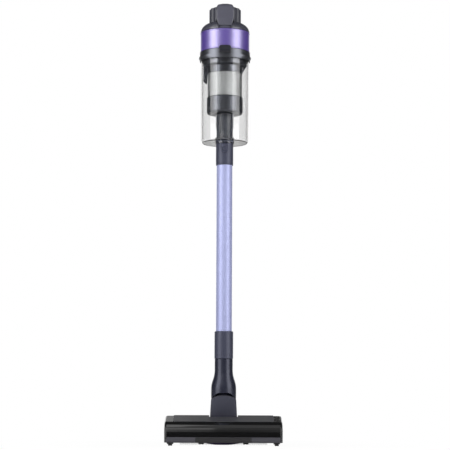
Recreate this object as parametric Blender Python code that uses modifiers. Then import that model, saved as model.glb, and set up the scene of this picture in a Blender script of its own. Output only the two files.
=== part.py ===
"""Cordless stick vacuum: floor head, jointed neck, pipe, clear bin, motor unit, handle and battery.

Metres, +Z up, +Y to the rear. The origin is on the floor, under the pipe's axis.
"""

import math

import bmesh
import bpy
from mathutils import Matrix, Vector

MM = 0.001

# Clearances
GAP = 0.3 * MM  # between pieces that rest on each other
SLIP = 0.45 * MM  # round a piece that slides in another
RUN = 0.5 * MM  # round a piece that turns in another
TRAVEL = 1.5 * MM  # of every push button and latch

# Facets round a circle
LARGE = 24
SMALL = 16

# Floor head
HEAD_WIDTH = 263 * MM
END_CAP = 4.7 * MM
HOOD_WALL = 2.5 * MM
HOOD_FOOT = 19.5 * MM
SKIRT_FOOT = 7 * MM
CHASSIS_BASE = 9.3 * MM
SOLE = 2.3 * MM
HEAD_REAR = 8 * MM
BUMPER_DEPTH = 5 * MM
PANEL_WIDTH = 225 * MM
PANEL_THICK = 1.2 * MM
PANEL_FRONT = -59 * MM
NOTCH_HALF = 32.4 * MM
NOTCH_FRONT = -17 * MM
LINT_HALF_LENGTH = 100 * MM
LINT_HALF_WIDTH = 5 * MM

# Brush roll and its drive
BRUSH_Y = -50 * MM
BRUSH_Z = 25 * MM
BRUSH_R = 24 * MM
BRUSH_CORE_R = 15 * MM
BRUSH_HALF = 106 * MM
CHAMBER_R = 26.5 * MM
JOURNAL_R = 4 * MM
BEARING_R = 7 * MM
BEARING_WIDTH = 3.9 * MM
STRIP_THICK = 3.2 * MM
STRIPS = 2
MOTOR_R = 11 * MM
MOTOR_Y = -9.1 * MM
MOTOR_Z = 31 * MM
MOTOR_START = 36 * MM
MOTOR_LENGTH = 64 * MM
MOTOR_SHAFT_R = 2 * MM
BRUSH_PULLEY_R = 9 * MM
MOTOR_PULLEY_R = 6 * MM
PULLEY_WIDTH = 7 * MM
BELT_THICK = 1.2 * MM
BELT_WIDTH = 5 * MM
BAY_WALL = 4.5 * MM

# Wheels
FRONT_WHEEL_R = 6 * MM
FRONT_WHEEL_Y = -69 * MM
FRONT_WHEEL_X = 118 * MM
FRONT_WHEEL_WIDTH = 9 * MM
REAR_WHEEL_R = 13.5 * MM
REAR_WHEEL_Y = 43 * MM
REAR_WHEEL_X = 51 * MM
REAR_WHEEL_WIDTH = 12 * MM
AXLE_R = 2.2 * MM
AXLE_REACH = 2.6 * MM
ARM_REAR = 52 * MM
ARM_TOP = 44 * MM
ARM_OUTER = 62 * MM

# Jointed neck
PITCH_Y = 28 * MM
PITCH_Z = 34 * MM
BARREL_R = 19 * MM
BARREL_HALF = 30.5 * MM
PIN_R = 5 * MM
PIN_INNER = 20 * MM
PIN_OUTER = 41 * MM
THRUST_R = 8 * MM
SWIVEL_Z = 101 * MM
SWIVEL_TILT = math.radians(20)
NECK_R = 28.4 * MM
NECK_NARROW_R = 20.5 * MM
NECK_BULGE_TOP = 130 * MM
NECK_TAPER_TOP = 162 * MM
NECK_TOP = 193.5 * MM
AIR_R = 13 * MM
SPIGOT_R = 16.4 * MM
SPIGOT_LENGTH = 42.5 * MM
SWIVEL_SPIGOT_R = 18.4 * MM
SWIVEL_SPIGOT_LENGTH = 12 * MM
WASHER_THICK = 1.4 * MM

# Pipe
TUBE_R = 18 * MM
TUBE_WALL = 1.5 * MM
TUBE_LENGTH = 425.7 * MM
LOWER_COLLAR_R = 21.2 * MM
LOWER_COLLAR_LENGTH = 62.1 * MM
UPPER_COLLAR_R = 19.9 * MM
UPPER_COLLAR_GRIP = 26.4 * MM
UPPER_COLLAR_HEAD = 24.4 * MM
UPPER_SPIGOT_R = 15.6 * MM
UPPER_SPIGOT_LENGTH = 27.6 * MM
UPPER_BORE_R = 13.8 * MM
CONDUIT_HALF = 3 * MM
CONDUIT_THICK = 2 * MM

# Bin and what stands in it
BIN_R = 56.2 * MM
BIN_TAPER = 1.4 * MM
BIN_WALL = 2.2 * MM
BIN_HEIGHT = 195 * MM
BIN_HOLE_R = 20.9 * MM
INLET_FLANGE_R = 21.6 * MM
INLET_LOW_R = 19 * MM
INLET_R = 20.4 * MM
INLET_HEIGHT = 65.5 * MM
INLET_SPIGOT_R = 17 * MM
INLET_SPIGOT_LENGTH = 15 * MM
SEAL_HEIGHT = 2.2 * MM
SKIRT_HEIGHT = 38.7 * MM
SKIRT_WALL = 2.2 * MM
SKIRT_OVERHANG = 1.8 * MM
MESH_INSET = 1 * MM
MESH_WALL = 0.9 * MM
MESH_HEIGHT = 54.5 * MM
CYCLONE_CLEAR = 3 * MM
CYCLONE_STEP = 10.2 * MM
CYCLONE_NECK = 16 * MM
CYCLONE_WALL = 4.3 * MM

# Motor unit
FLANGE_R = 60.6 * MM
FLANGE_LIP = 6 * MM
FLANGE_WEB = 3 * MM
FLANGE_COLLAR = 11.6 * MM
WEB_HOLE_R = 30 * MM
RING_R = 57.1 * MM
RING_WALL = 2 * MM
RING_HEIGHT = 46 * MM
HOUSING_WALL = 2.5 * MM
BULKHEAD = 3 * MM
BULKHEAD_HOLE_R = 28 * MM
DOME_RISE = 22.5 * MM
DOME_WALL = 2.5 * MM
DOME_HOLE_R = 33 * MM
SUCTION_MOTOR_R = 30 * MM
SUCTION_MOTOR_HEIGHT = 44 * MM
MOUNT_HEIGHT = 8 * MM
IMPELLER_R = 26 * MM
IMPELLER_SHAFT_R = 2.4 * MM
BLADES = 8
CAP_R = 36.6 * MM
CAP_LOBES = 14
CAP_LOBE_DEPTH = 3.2 * MM
CAP_HEIGHT = 32.4 * MM
CAP_SKIRT_R = 32.2 * MM
CAP_HOLLOW_R = 30 * MM
FILTER_BORE_R = 20 * MM
TAB_HALF = 21 * MM
TAB_FOOT_HALF = 14.6 * MM
TAB_REACH = 60 * MM
TAB_BACK = 31.5 * MM
TAB_RISE = 7 * MM
TAB_CLEAR = 0.8 * MM
LATCH_HALF = 14 * MM
LATCH_HEIGHT = 18 * MM
LATCH_THICK = 4.1 * MM

# Handle and battery
HANDLE_HALF = 20 * MM
HANDLE_WALL = 2.5 * MM
PAD_THICK = 2 * MM
PAD_HALF = 12 * MM
BOARD_THICK = 1.6 * MM
POWER_R = 8 * MM
POWER_Y = 110 * MM
MODE_R = 6 * MM
MODE_Y = 88 * MM
BUTTON_PROUD = 2.5 * MM
BATTERY_HALF = 19.5 * MM
BATTERY_FRONT = 64 * MM
BATTERY_REAR = 132 * MM
BATTERY_HEIGHT = 78 * MM
BATTERY_WALL = 1.8 * MM
LID_THICK = 5.2 * MM
RAIL_HALF = 9 * MM
RAIL_HEIGHT = 10.5 * MM
CELL_R = 8.9 * MM
CELL_HEIGHT = 65 * MM
CELL_PITCH_Y = 17.6 * MM

# Places worked out from the sizes above
HALF_WIDTH = HEAD_WIDTH / 2
HOOD_HALF = HALF_WIDTH - END_CAP - GAP
CHAMBER_HALF = BRUSH_HALF + 2 * MM
POCKET_START = CHAMBER_HALF + BAY_WALL
PULLEY_START = POCKET_START + 1.5 * MM
SWIVEL_AXIS = Vector((0, math.sin(SWIVEL_TILT), math.cos(SWIVEL_TILT)))
SWIVEL_CENTRE = Vector((0, 0, SWIVEL_Z))
SOCKET_BASE = GAP + WASHER_THICK + GAP
COLLAR_BASE = NECK_TOP + GAP + 0.1 * MM
COLLAR_TOP = COLLAR_BASE + LOWER_COLLAR_LENGTH
TUBE_START = NECK_TOP + SPIGOT_LENGTH + 2.3 * MM
TUBE_END = TUBE_START + TUBE_LENGTH
TUBE_BORE = TUBE_R - TUBE_WALL
UPPER_BASE = TUBE_END - UPPER_COLLAR_GRIP
UPPER_TOP = TUBE_END + UPPER_COLLAR_HEAD
BIN_BASE = UPPER_TOP + 0.6 * MM
BIN_TOP = BIN_BASE + BIN_HEIGHT
BIN_BORE = BIN_R - BIN_WALL
CYCLONE_R = BIN_BORE - CYCLONE_CLEAR
CYCLONE_NECK_R = CYCLONE_R - CYCLONE_STEP
MESH_R = CYCLONE_NECK_R - MESH_INSET
SKIRT_R = MESH_R + SKIRT_OVERHANG
INLET_BASE = BIN_BASE + BIN_WALL + GAP
INLET_TOP = INLET_BASE + INLET_HEIGHT
SKIRT_BASE = INLET_TOP + GAP
SKIRT_TOP = SKIRT_BASE + SKIRT_HEIGHT
MESH_BASE = SKIRT_TOP + GAP
MESH_TOP = MESH_BASE + MESH_HEIGHT
CYCLONE_BASE = MESH_TOP + GAP
WEB_BASE = BIN_TOP + GAP + SEAL_HEIGHT + RUN
WEB_TOP = WEB_BASE + FLANGE_WEB
CYCLONE_TOP = WEB_BASE - GAP
FLANGE_TOP = WEB_TOP + FLANGE_COLLAR
RING_BASE = FLANGE_TOP + GAP
RING_TOP = RING_BASE + RING_HEIGHT
RING_BORE = RING_R - RING_WALL
HOUSING_R = RING_BORE - 0.4 * MM
HOUSING_BORE = HOUSING_R - HOUSING_WALL
HOUSING_BASE = WEB_TOP + GAP
BULKHEAD_BASE = WEB_TOP + 6 * MM
MOTOR_BASE = BULKHEAD_BASE + BULKHEAD + 3 * MM
DOME_BASE = RING_TOP + GAP
DOME_TOP = DOME_BASE + 0.952 * DOME_RISE
CAP_BASE = DOME_TOP + RUN
CAP_TOP = CAP_BASE + CAP_HEIGHT
GRIP_TOP = RING_TOP - 2 * MM
DOCK_BASE = GRIP_TOP - 140 * MM
LID_TOP = DOCK_BASE - GAP
CASE_TOP = LID_TOP - LID_THICK - GAP
CASE_BASE = CASE_TOP - BATTERY_HEIGHT
BATTERY_Y = (BATTERY_FRONT + BATTERY_REAR) / 2
CELL_PITCH_X = 2 * (BATTERY_HALF - BATTERY_WALL - GAP - CELL_R)


# ---------------------------------------------------------------- scene and materials


def clear_scene():
    for thing in list(bpy.data.objects):
        bpy.data.objects.remove(thing, do_unlink=True)


def new_collection(name):
    collection = bpy.data.collections.new(name)
    bpy.context.scene.collection.children.link(collection)
    return collection


def to_linear(channel):
    return channel / 12.92 if channel <= 0.04045 else ((channel + 0.055) / 1.055) ** 2.4


def colour(code):
    """A linear colour from a six-digit sRGB code."""
    return [to_linear(int(code[i : i + 2], 16) / 255) for i in (0, 2, 4)] + [1.0]


def paint(piece, code, roughness=0.5, metallic=0.0, clear=False):
    material = bpy.data.materials.new(piece.name)
    material.use_nodes = True
    shader = material.node_tree.nodes["Principled BSDF"]
    shader.inputs["Base Color"].default_value = colour(code)
    shader.inputs["Roughness"].default_value = roughness
    shader.inputs["Metallic"].default_value = metallic
    shader.inputs["Transmission Weight"].default_value = 1.0 if clear else 0.0
    piece.data.materials.clear()
    piece.data.materials.append(material)
    return piece


# ---------------------------------------------------------------- shapes


def add(name, mesh):
    piece = bpy.data.objects.new(name, mesh)
    PARTS.objects.link(piece)
    return piece


def box(name, low, high):
    """A block between two opposite corners."""
    low, high = Vector(low), Vector(high)
    work = bmesh.new()
    bmesh.ops.create_cube(work, size=1)
    bmesh.ops.scale(work, vec=high - low, verts=work.verts)
    bmesh.ops.translate(work, vec=(low + high) / 2, verts=work.verts)
    mesh = bpy.data.meshes.new(name)
    work.to_mesh(mesh)
    work.free()
    return add(name, mesh)


def rod(name, radius, start, end, segments=SMALL, end_radius=None):
    """A cylinder or cone between two points."""
    start, end = Vector(start), Vector(end)
    work = bmesh.new()
    bmesh.ops.create_cone(
        work,
        cap_ends=True,
        segments=segments,
        radius1=radius,
        radius2=radius if end_radius is None else end_radius,
        depth=(end - start).length,
    )
    turn = (end - start).to_track_quat("Z", "Y").to_matrix().to_4x4()
    bmesh.ops.transform(work, matrix=Matrix.Translation((start + end) / 2) @ turn, verts=work.verts)
    mesh = bpy.data.meshes.new(name)
    work.to_mesh(mesh)
    work.free()
    mesh.shade_smooth()
    mesh.set_sharp_from_angle(angle=math.radians(30))
    return add(name, mesh)


def turned(name, profile, centre=(0, 0, 0), along="Z", segments=LARGE):
    """A turned solid. The (radius, height) profile runs down the outside, then up the inside if hollow."""
    last = len(profile) - 1
    edges = [(i, i + 1) for i in range(last)]
    if profile[0][0] > 0:
        edges.append((last, 0))
    mesh = bpy.data.meshes.new(name)
    mesh.from_pydata([(radius, 0, height) for radius, height in profile], edges, [])
    piece = add(name, mesh)
    turn = piece.modifiers.new("turn", "SCREW")
    turn.steps = turn.render_steps = segments
    turn.use_merge_vertices = True
    turn.merge_threshold = 0.00001
    piece.location = centre
    if along == "X":
        piece.rotation_euler = (0, math.pi / 2, 0)
    return piece


def slab(name, outline, low, high, along):
    """A flat outline in the two other axes, in X, Y, Z order, made solid from low to high along one axis."""
    curve = bpy.data.curves.new(name, "CURVE")
    curve.dimensions = "2D"
    curve.fill_mode = "BOTH"
    curve.extrude = (high - low) / 2
    spline = curve.splines.new("POLY")
    spline.points.add(len(outline) - 1)
    for point, (across, up) in zip(spline.points, outline):
        point.co = (across, up, 0, 1)
    spline.use_cyclic_u = True
    flat = bpy.data.objects.new(name, curve)
    columns = {
        "X": ((0, 1, 0), (0, 0, 1), (1, 0, 0)),
        "Y": ((1, 0, 0), (0, 0, 1), (0, -1, 0)),
        "Z": ((1, 0, 0), (0, 1, 0), (0, 0, 1)),
    }[along]
    middle = Vector(columns[2]) * (high + low) / 2 * (-1 if along == "Y" else 1)
    flat.matrix_world = Matrix.Translation(middle) @ Matrix(columns).transposed().to_4x4()
    return as_mesh(flat)


def as_mesh(flat):
    """A curve object turned into a mesh object in the same place, its caps welded to its sides."""
    PARTS.objects.link(flat)
    bpy.context.view_layer.update()
    evaluated = flat.evaluated_get(bpy.context.evaluated_depsgraph_get())
    mesh = bpy.data.meshes.new_from_object(evaluated)
    mesh.transform(flat.matrix_world)
    name = flat.name
    bpy.data.objects.remove(flat, do_unlink=True)
    work = bmesh.new()
    work.from_mesh(mesh)
    bmesh.ops.remove_doubles(work, verts=work.verts, dist=0.000001)
    work.to_mesh(mesh)
    work.free()
    return add(name, mesh)


def loft(name, rings):
    """A closed skin over rings of points, each ring in the same order, with a flat face at both ends."""
    count = len(rings[0])
    points = [point for ring in rings for point in ring]
    faces = [tuple(reversed(range(count)))]
    for level in range(len(rings) - 1):
        for i in range(count):
            j = (i + 1) % count
            low, high = level * count, (level + 1) * count
            faces.append((low + i, low + j, high + j, high + i))
    faces.append(tuple(range(len(points) - count, len(points))))
    mesh = bpy.data.meshes.new(name)
    mesh.from_pydata(points, [], faces)
    work = bmesh.new()
    work.from_mesh(mesh)
    bmesh.ops.recalc_face_normals(work, faces=work.faces)
    work.to_mesh(mesh)
    work.free()
    return add(name, mesh)


def combine(piece, operation, others):
    for other in others:
        change = piece.modifiers.new(other.name, "BOOLEAN")
        change.operation = operation
        change.object = other
        PARTS.objects.unlink(other)
        CUTTERS.objects.link(other)
        other.hide_render = True
        other.display_type = "WIRE"
    return piece


def cut(piece, *others):
    return combine(piece, "DIFFERENCE", others)


def join(piece, *others):
    return combine(piece, "UNION", others)


def keep_common(piece, *others):
    return combine(piece, "INTERSECT", others)


def pivot_at(piece, place):
    """Moves the origin of a piece to a point on its joint's axis, leaving its shape where it is."""
    piece.data.transform(Matrix.Translation(-Vector(place)))
    piece.location = place
    return piece


# ---------------------------------------------------------------- outlines


def inset(outline, distance):
    """A closed outline moved inwards by a distance, or outwards by a negative one."""
    count = len(outline)
    area = sum(
        outline[i][0] * outline[(i + 1) % count][1] - outline[(i + 1) % count][0] * outline[i][1]
        for i in range(count)
    )
    side = distance if area > 0 else -distance
    result = []
    for i, point in enumerate(outline):
        before = (Vector(point) - Vector(outline[i - 1])).normalized()
        after = (Vector(outline[(i + 1) % count]) - Vector(point)).normalized()
        normal = Vector((-before.y - after.y, before.x + after.x))
        reach = side * 2 / normal.length_squared
        result.append(tuple(Vector(point) + normal * reach))
    return result


def rounded(outline, radius, steps=2):
    """A closed outline with each corner turned into an arc, smaller where the sides are short."""
    result = []
    count = len(outline)
    for i in range(count):
        corner = Vector(outline[i])
        back = Vector(outline[i - 1]) - corner
        ahead = Vector(outline[(i + 1) % count]) - corner
        half = back.angle(ahead) / 2
        reach = min(radius / math.tan(half), 0.45 * back.length, 0.45 * ahead.length)
        start = corner + back.normalized() * reach
        end = corner + ahead.normalized() * reach
        for step in range(steps + 1):
            share = step / steps
            result.append(
                tuple(start * (1 - share) ** 2 + corner * 2 * share * (1 - share) + end * share**2)
            )
    return result


def arc(centre_y, centre_z, radius, first, last, steps):
    """Points round a circle in the YZ plane, angles in degrees from +Y towards +Z."""
    points = []
    for step in range(steps + 1):
        angle = math.radians(first + (last - first) * step / steps)
        points.append((centre_y + radius * math.cos(angle), centre_z + radius * math.sin(angle)))
    return points


def in_mm(points):
    return [(a * MM, b * MM) for a, b in points]


# ---------------------------------------------------------------- floor head


def hood_outline():
    """Side outline of the head, from the front foot over the top to the rear foot."""
    top = in_mm([(-81.5, 28), (-79, 40), (-72, 49), (-62, 54.5)])
    rear = [(HEAD_REAR - 4 * MM, 65.5 * MM), (HEAD_REAR, 62 * MM)]
    return [(-80 * MM, HOOD_FOOT)] + top + rear + [(HEAD_REAR, HOOD_FOOT)]


def with_foot(outline, height):
    """The same outline with its first and last points dropped to a height."""
    return [(outline[0][0], height)] + outline[1:-1] + [(outline[-1][0], height)]


def chassis_outline():
    return with_foot(inset(hood_outline(), HOOD_WALL + GAP), CHASSIS_BASE)


def neck_notch(name, half):
    """The room over the head's rear that the neck tips back from."""
    front = [(7 * MM, 27 * MM), (-15.5 * MM, 64 * MM), (NOTCH_FRONT, 80 * MM)]
    outline = front + [(80 * MM, 80 * MM), (80 * MM, 27 * MM)]
    return slab(name, outline, -half, half, "X")


def make_hood():
    hood = slab("head_hood", hood_outline(), -HOOD_HALF, HOOD_HALF, "X")
    hollow = with_foot(inset(hood_outline(), HOOD_WALL), 0)
    cut(hood, slab("hood_hollow", hollow, -HALF_WIDTH, HALF_WIDTH, "X"))
    cut(hood, neck_notch("hood_notch", NOTCH_HALF))
    arm_room = ARM_OUTER + GAP
    low = (-arm_room, HEAD_REAR - HOOD_WALL - MM, 0)
    cut(hood, box("hood_arm_room", low, (arm_room, HEAD_REAR + MM, ARM_TOP + GAP)))
    paint(hood, "1c1c1e", 0.12)


def make_panel():
    """A thin plate over the sloping top, with a bay for the neck."""
    outer = inset(hood_outline(), -GAP)
    above = inset(hood_outline(), -GAP - PANEL_THICK)
    outline = [outer[4], outer[5], above[5], above[4]]
    panel = slab("top_panel", outline, -PANEL_WIDTH / 2, PANEL_WIDTH / 2, "X")
    cut(panel, neck_notch("panel_notch", NOTCH_HALF))
    paint(panel, "5c5c5f", 0.45)


def make_end_cap(name, side):
    outline = with_foot(hood_outline(), SKIRT_FOOT)
    near, far = sorted((side * (HOOD_HALF + GAP), side * HALF_WIDTH))
    cap = slab(name, rounded(outline, 3 * MM), near, far, "X")
    paint(cap, "3a3a3d", 0.4)


def make_bumper():
    back = min(y for y, z in chassis_outline()) - GAP
    low = (-HOOD_HALF, back - BUMPER_DEPTH, SKIRT_FOOT)
    bumper = box("front_bumper", low, (HOOD_HALF, back, HOOD_FOOT - GAP))
    paint(bumper, "2a2a2e", 0.8)


def wheel_pocket(name, side, centre_y, radius, centre_x, width):
    room = 1 * MM
    half = width / 2 + room
    middle = side * centre_x
    low = (middle - half, centre_y - radius - room, -room)
    return box(name, low, (middle + half, centre_y + radius + room, 2 * radius + room))


def axle_bore(name, side, centre_y, centre_z, centre_x, width):
    reach = width / 2 + AXLE_REACH + GAP
    middle = side * centre_x
    start = (middle - reach, centre_y, centre_z)
    return rod(name, AXLE_R + GAP, start, (middle + reach, centre_y, centre_z), 12)


def make_chassis():
    chassis = slab("head_chassis", chassis_outline(), -HOOD_HALF, HOOD_HALF, "X")
    for side, hand in ((-1, "left"), (1, "right")):
        near, far = sorted((side * NOTCH_HALF, side * ARM_OUTER))
        outline = [(0, CHASSIS_BASE), (ARM_REAR, CHASSIS_BASE), (ARM_REAR, PITCH_Z - 4 * MM)]
        outline += [(PITCH_Y + 10 * MM, ARM_TOP), (0, ARM_TOP)]
        join(chassis, slab(f"arm_{hand}", outline, near, far, "X"))
    bay_rear = HEAD_REAR - HOOD_WALL - GAP - 2.5 * MM
    bay_front = MOTOR_Y - MOTOR_R - 0.9 * MM
    bay_floor = MOTOR_Z - MOTOR_R - GAP
    cut(
        chassis,
        rod("chamber", CHAMBER_R, (-CHAMBER_HALF, BRUSH_Y, BRUSH_Z), (CHAMBER_HALF, BRUSH_Y, BRUSH_Z), LARGE),
        neck_notch("chassis_notch", NOTCH_HALF - 0.2 * MM),
        rod("head_duct", 10 * MM, (0, BRUSH_Y, 28 * MM), (0, 2 * HEAD_REAR, 28 * MM)),
        box("motor_bay", (MOTOR_START - 2 * MM, bay_front, bay_floor), (CHAMBER_HALF, bay_rear, 0.1)),
        box("spare_bay", (-CHAMBER_HALF, bay_front, bay_floor), (2 * MM - MOTOR_START, bay_rear, 0.1)),
        box(
            "belt_pocket",
            (POCKET_START, BRUSH_Y - 11.2 * MM, 13.5 * MM),
            (HALF_WIDTH, MOTOR_Y + MOTOR_PULLEY_R + 3 * MM, 41 * MM),
        ),
        rod("shaft_bore", MOTOR_SHAFT_R + RUN, (MOTOR_START, MOTOR_Y, MOTOR_Z), (HALF_WIDTH, MOTOR_Y, MOTOR_Z), 12),
        rod("bearing_bore", BEARING_R + GAP, (-POCKET_START, BRUSH_Y, BRUSH_Z), (POCKET_START + MM, BRUSH_Y, BRUSH_Z)),
        rod("pin_bore", PIN_R + SLIP, (-PIN_OUTER - GAP, PITCH_Y, PITCH_Z), (PIN_OUTER + GAP, PITCH_Y, PITCH_Z)),
    )
    for side, hand in ((-1, "left"), (1, "right")):
        front = (side, FRONT_WHEEL_Y, FRONT_WHEEL_R, FRONT_WHEEL_X, FRONT_WHEEL_WIDTH)
        rear = (side, REAR_WHEEL_Y, REAR_WHEEL_R, REAR_WHEEL_X, REAR_WHEEL_WIDTH)
        cut(chassis, wheel_pocket(f"front_pocket_{hand}", *front))
        cut(chassis, wheel_pocket(f"rear_pocket_{hand}", *rear))
        cut(chassis, axle_bore(f"front_bore_{hand}", *front))
        cut(chassis, axle_bore(f"rear_bore_{hand}", *rear))
    paint(chassis, "2b2c2e", 0.55)


def make_sole():
    front = chassis_outline()[0][0]
    rear = chassis_outline()[-1][0]
    top = CHASSIS_BASE - GAP
    sole = box("sole_plate", (-HOOD_HALF, front, top - SOLE), (HOOD_HALF, rear, top))
    slot = box(
        "brush_slot",
        (-BRUSH_HALF, BRUSH_Y - 21 * MM, 0),
        (BRUSH_HALF, BRUSH_Y + 21 * MM, 2 * CHASSIS_BASE),
    )
    cut(sole, slot)
    for side, hand in ((-1, "left"), (1, "right")):
        room = (side, FRONT_WHEEL_Y, FRONT_WHEEL_R, FRONT_WHEEL_X, FRONT_WHEEL_WIDTH)
        cut(sole, wheel_pocket(f"sole_pocket_{hand}", *room))
        cut(sole, axle_bore(f"sole_bore_{hand}", *room))
    paint(sole, "303134", 0.5)
    top = CHASSIS_BASE - GAP - SOLE - GAP
    strip = box(
        "lint_strip",
        (-LINT_HALF_LENGTH, -LINT_HALF_WIDTH, 0),
        (LINT_HALF_LENGTH, LINT_HALF_WIDTH, top),
    )
    paint(strip, "6b1f2e", 0.95)


def make_wheel(name, side, centre_y, radius, centre_x, width):
    """A wheel with its own stub axles, turned about the X axis."""
    half = width / 2
    reach = half + AXLE_REACH
    edge = min(1.5 * MM, radius / 5)
    profile = [
        (0, reach),
        (AXLE_R, reach),
        (AXLE_R, half),
        (radius - edge, half),
        (radius, half - edge),
        (radius, edge - half),
        (radius - edge, -half),
        (AXLE_R, -half),
        (AXLE_R, -reach),
        (0, -reach),
    ]
    wheel = turned(name, profile, (side * centre_x, centre_y, radius), "X", SMALL)
    paint(wheel, "232326", 0.7)


def make_wheels():
    for side, hand in ((-1, "left"), (1, "right")):
        make_wheel(
            f"front_wheel_{hand}", side, FRONT_WHEEL_Y, FRONT_WHEEL_R, FRONT_WHEEL_X, FRONT_WHEEL_WIDTH
        )
        make_wheel(f"rear_wheel_{hand}", side, REAR_WHEEL_Y, REAR_WHEEL_R, REAR_WHEEL_X, REAR_WHEEL_WIDTH)


# ---------------------------------------------------------------- brush roll and drive


def make_brush():
    end = PULLEY_START + PULLEY_WIDTH
    profile = [
        (0, end),
        (BRUSH_PULLEY_R, end),
        (BRUSH_PULLEY_R, PULLEY_START),
        (JOURNAL_R, PULLEY_START),
        (JOURNAL_R, BRUSH_HALF),
        (BRUSH_CORE_R, BRUSH_HALF),
        (BRUSH_CORE_R, -BRUSH_HALF),
        (JOURNAL_R, -BRUSH_HALF),
        (JOURNAL_R, RUN - POCKET_START),
        (0, RUN - POCKET_START),
    ]
    core = turned("brush_core", profile, (0, BRUSH_Y, BRUSH_Z), "X", SMALL)
    paint(core, "2c2c30", 0.6)
    for index in range(STRIPS):
        make_bristle_strip(index)
    for side, hand in ((-1, "left"), (1, "right")):
        start = CHAMBER_HALF + GAP
        outer, inner = BEARING_R, JOURNAL_R + RUN
        ends = (start, start + BEARING_WIDTH)
        profile = [(outer, ends[1]), (outer, ends[0]), (inner, ends[0]), (inner, ends[1])]
        bearing = turned(f"bearing_{hand}", profile, (0, BRUSH_Y, BRUSH_Z), "X", SMALL)
        if side < 0:
            bearing.rotation_euler = (0, -math.pi / 2, 0)
        paint(bearing, "8d8f93", 0.3, 1.0)


def make_bristle_strip(index, steps=20):
    """A strip that winds half a turn round the brush core along its length."""
    length = BRUSH_HALF - 2 * MM
    inner = BRUSH_CORE_R + GAP
    half = STRIP_THICK / 2
    rings = []
    for step in range(steps + 1):
        along = length * (2 * step / steps - 1)
        angle = math.pi * step / steps + 2 * math.pi * index / STRIPS
        out = Vector((0, math.cos(angle), math.sin(angle)))
        aside = Vector((0, -math.sin(angle), math.cos(angle)))
        centre = Vector((along, 0, 0))
        rings.append(
            [
                centre + out * inner - aside * half,
                centre + out * BRUSH_R - aside * half,
                centre + out * BRUSH_R + aside * half,
                centre + out * inner + aside * half,
            ]
        )
    strip = loft(f"bristle_strip_{index + 1}", rings)
    strip.location = (0, BRUSH_Y, BRUSH_Z)
    paint(strip, "4d3a6e", 0.9)


def make_drive():
    end = MOTOR_START + MOTOR_LENGTH
    motor = rod("brush_motor", MOTOR_R, (MOTOR_START, MOTOR_Y, MOTOR_Z), (end, MOTOR_Y, MOTOR_Z))
    paint(motor, "9a9ca0", 0.35, 1.0)
    pulley_end = PULLEY_START + PULLEY_WIDTH
    profile = [
        (0, pulley_end),
        (MOTOR_PULLEY_R, pulley_end),
        (MOTOR_PULLEY_R, PULLEY_START),
        (MOTOR_SHAFT_R, PULLEY_START),
        (MOTOR_SHAFT_R, end + GAP),
        (0, end + GAP),
    ]
    pulley = turned("motor_pulley", profile, (0, MOTOR_Y, MOTOR_Z), "X", SMALL)
    paint(pulley, "8d8f93", 0.3, 1.0)
    low = PULLEY_START + 1 * MM
    belt = slab("drive_belt", belt_outline(GAP + BELT_THICK), low, low + BELT_WIDTH, "X")
    cut(belt, slab("belt_inside", belt_outline(GAP), low - MM, low + BELT_WIDTH + MM, "X"))
    paint(belt, "1a1a1b", 0.85)


def belt_outline(over):
    """The loop of an open belt that runs a distance over both pulleys."""
    span = Vector((MOTOR_Y - BRUSH_Y, MOTOR_Z - BRUSH_Z))
    lean = math.degrees(math.atan2(span.y, span.x))
    wrap = math.degrees(math.asin((BRUSH_PULLEY_R - MOTOR_PULLEY_R) / span.length))
    top, bottom = lean + 90 - wrap, lean + 270 + wrap
    large = arc(BRUSH_Y, BRUSH_Z, BRUSH_PULLEY_R + over, top, bottom, 14)
    small = arc(MOTOR_Y, MOTOR_Z, MOTOR_PULLEY_R + over, bottom - 360, top, 10)
    return large + small


# ---------------------------------------------------------------- jointed neck


def neck_ring(centre_y, centre_z, half_width, half_depth, lean, count=LARGE):
    """An ellipse of points across the neck, its rear side raised by a lean in degrees."""
    rise = Vector((0, math.cos(math.radians(lean)), math.sin(math.radians(lean))))
    centre = Vector((0, centre_y, centre_z))
    ring = []
    for step in range(count):
        angle = 2 * math.pi * step / count
        across = Vector((half_width * math.cos(angle), 0, 0))
        ring.append(centre + across + rise * half_depth * math.sin(angle))
    return ring


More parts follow.
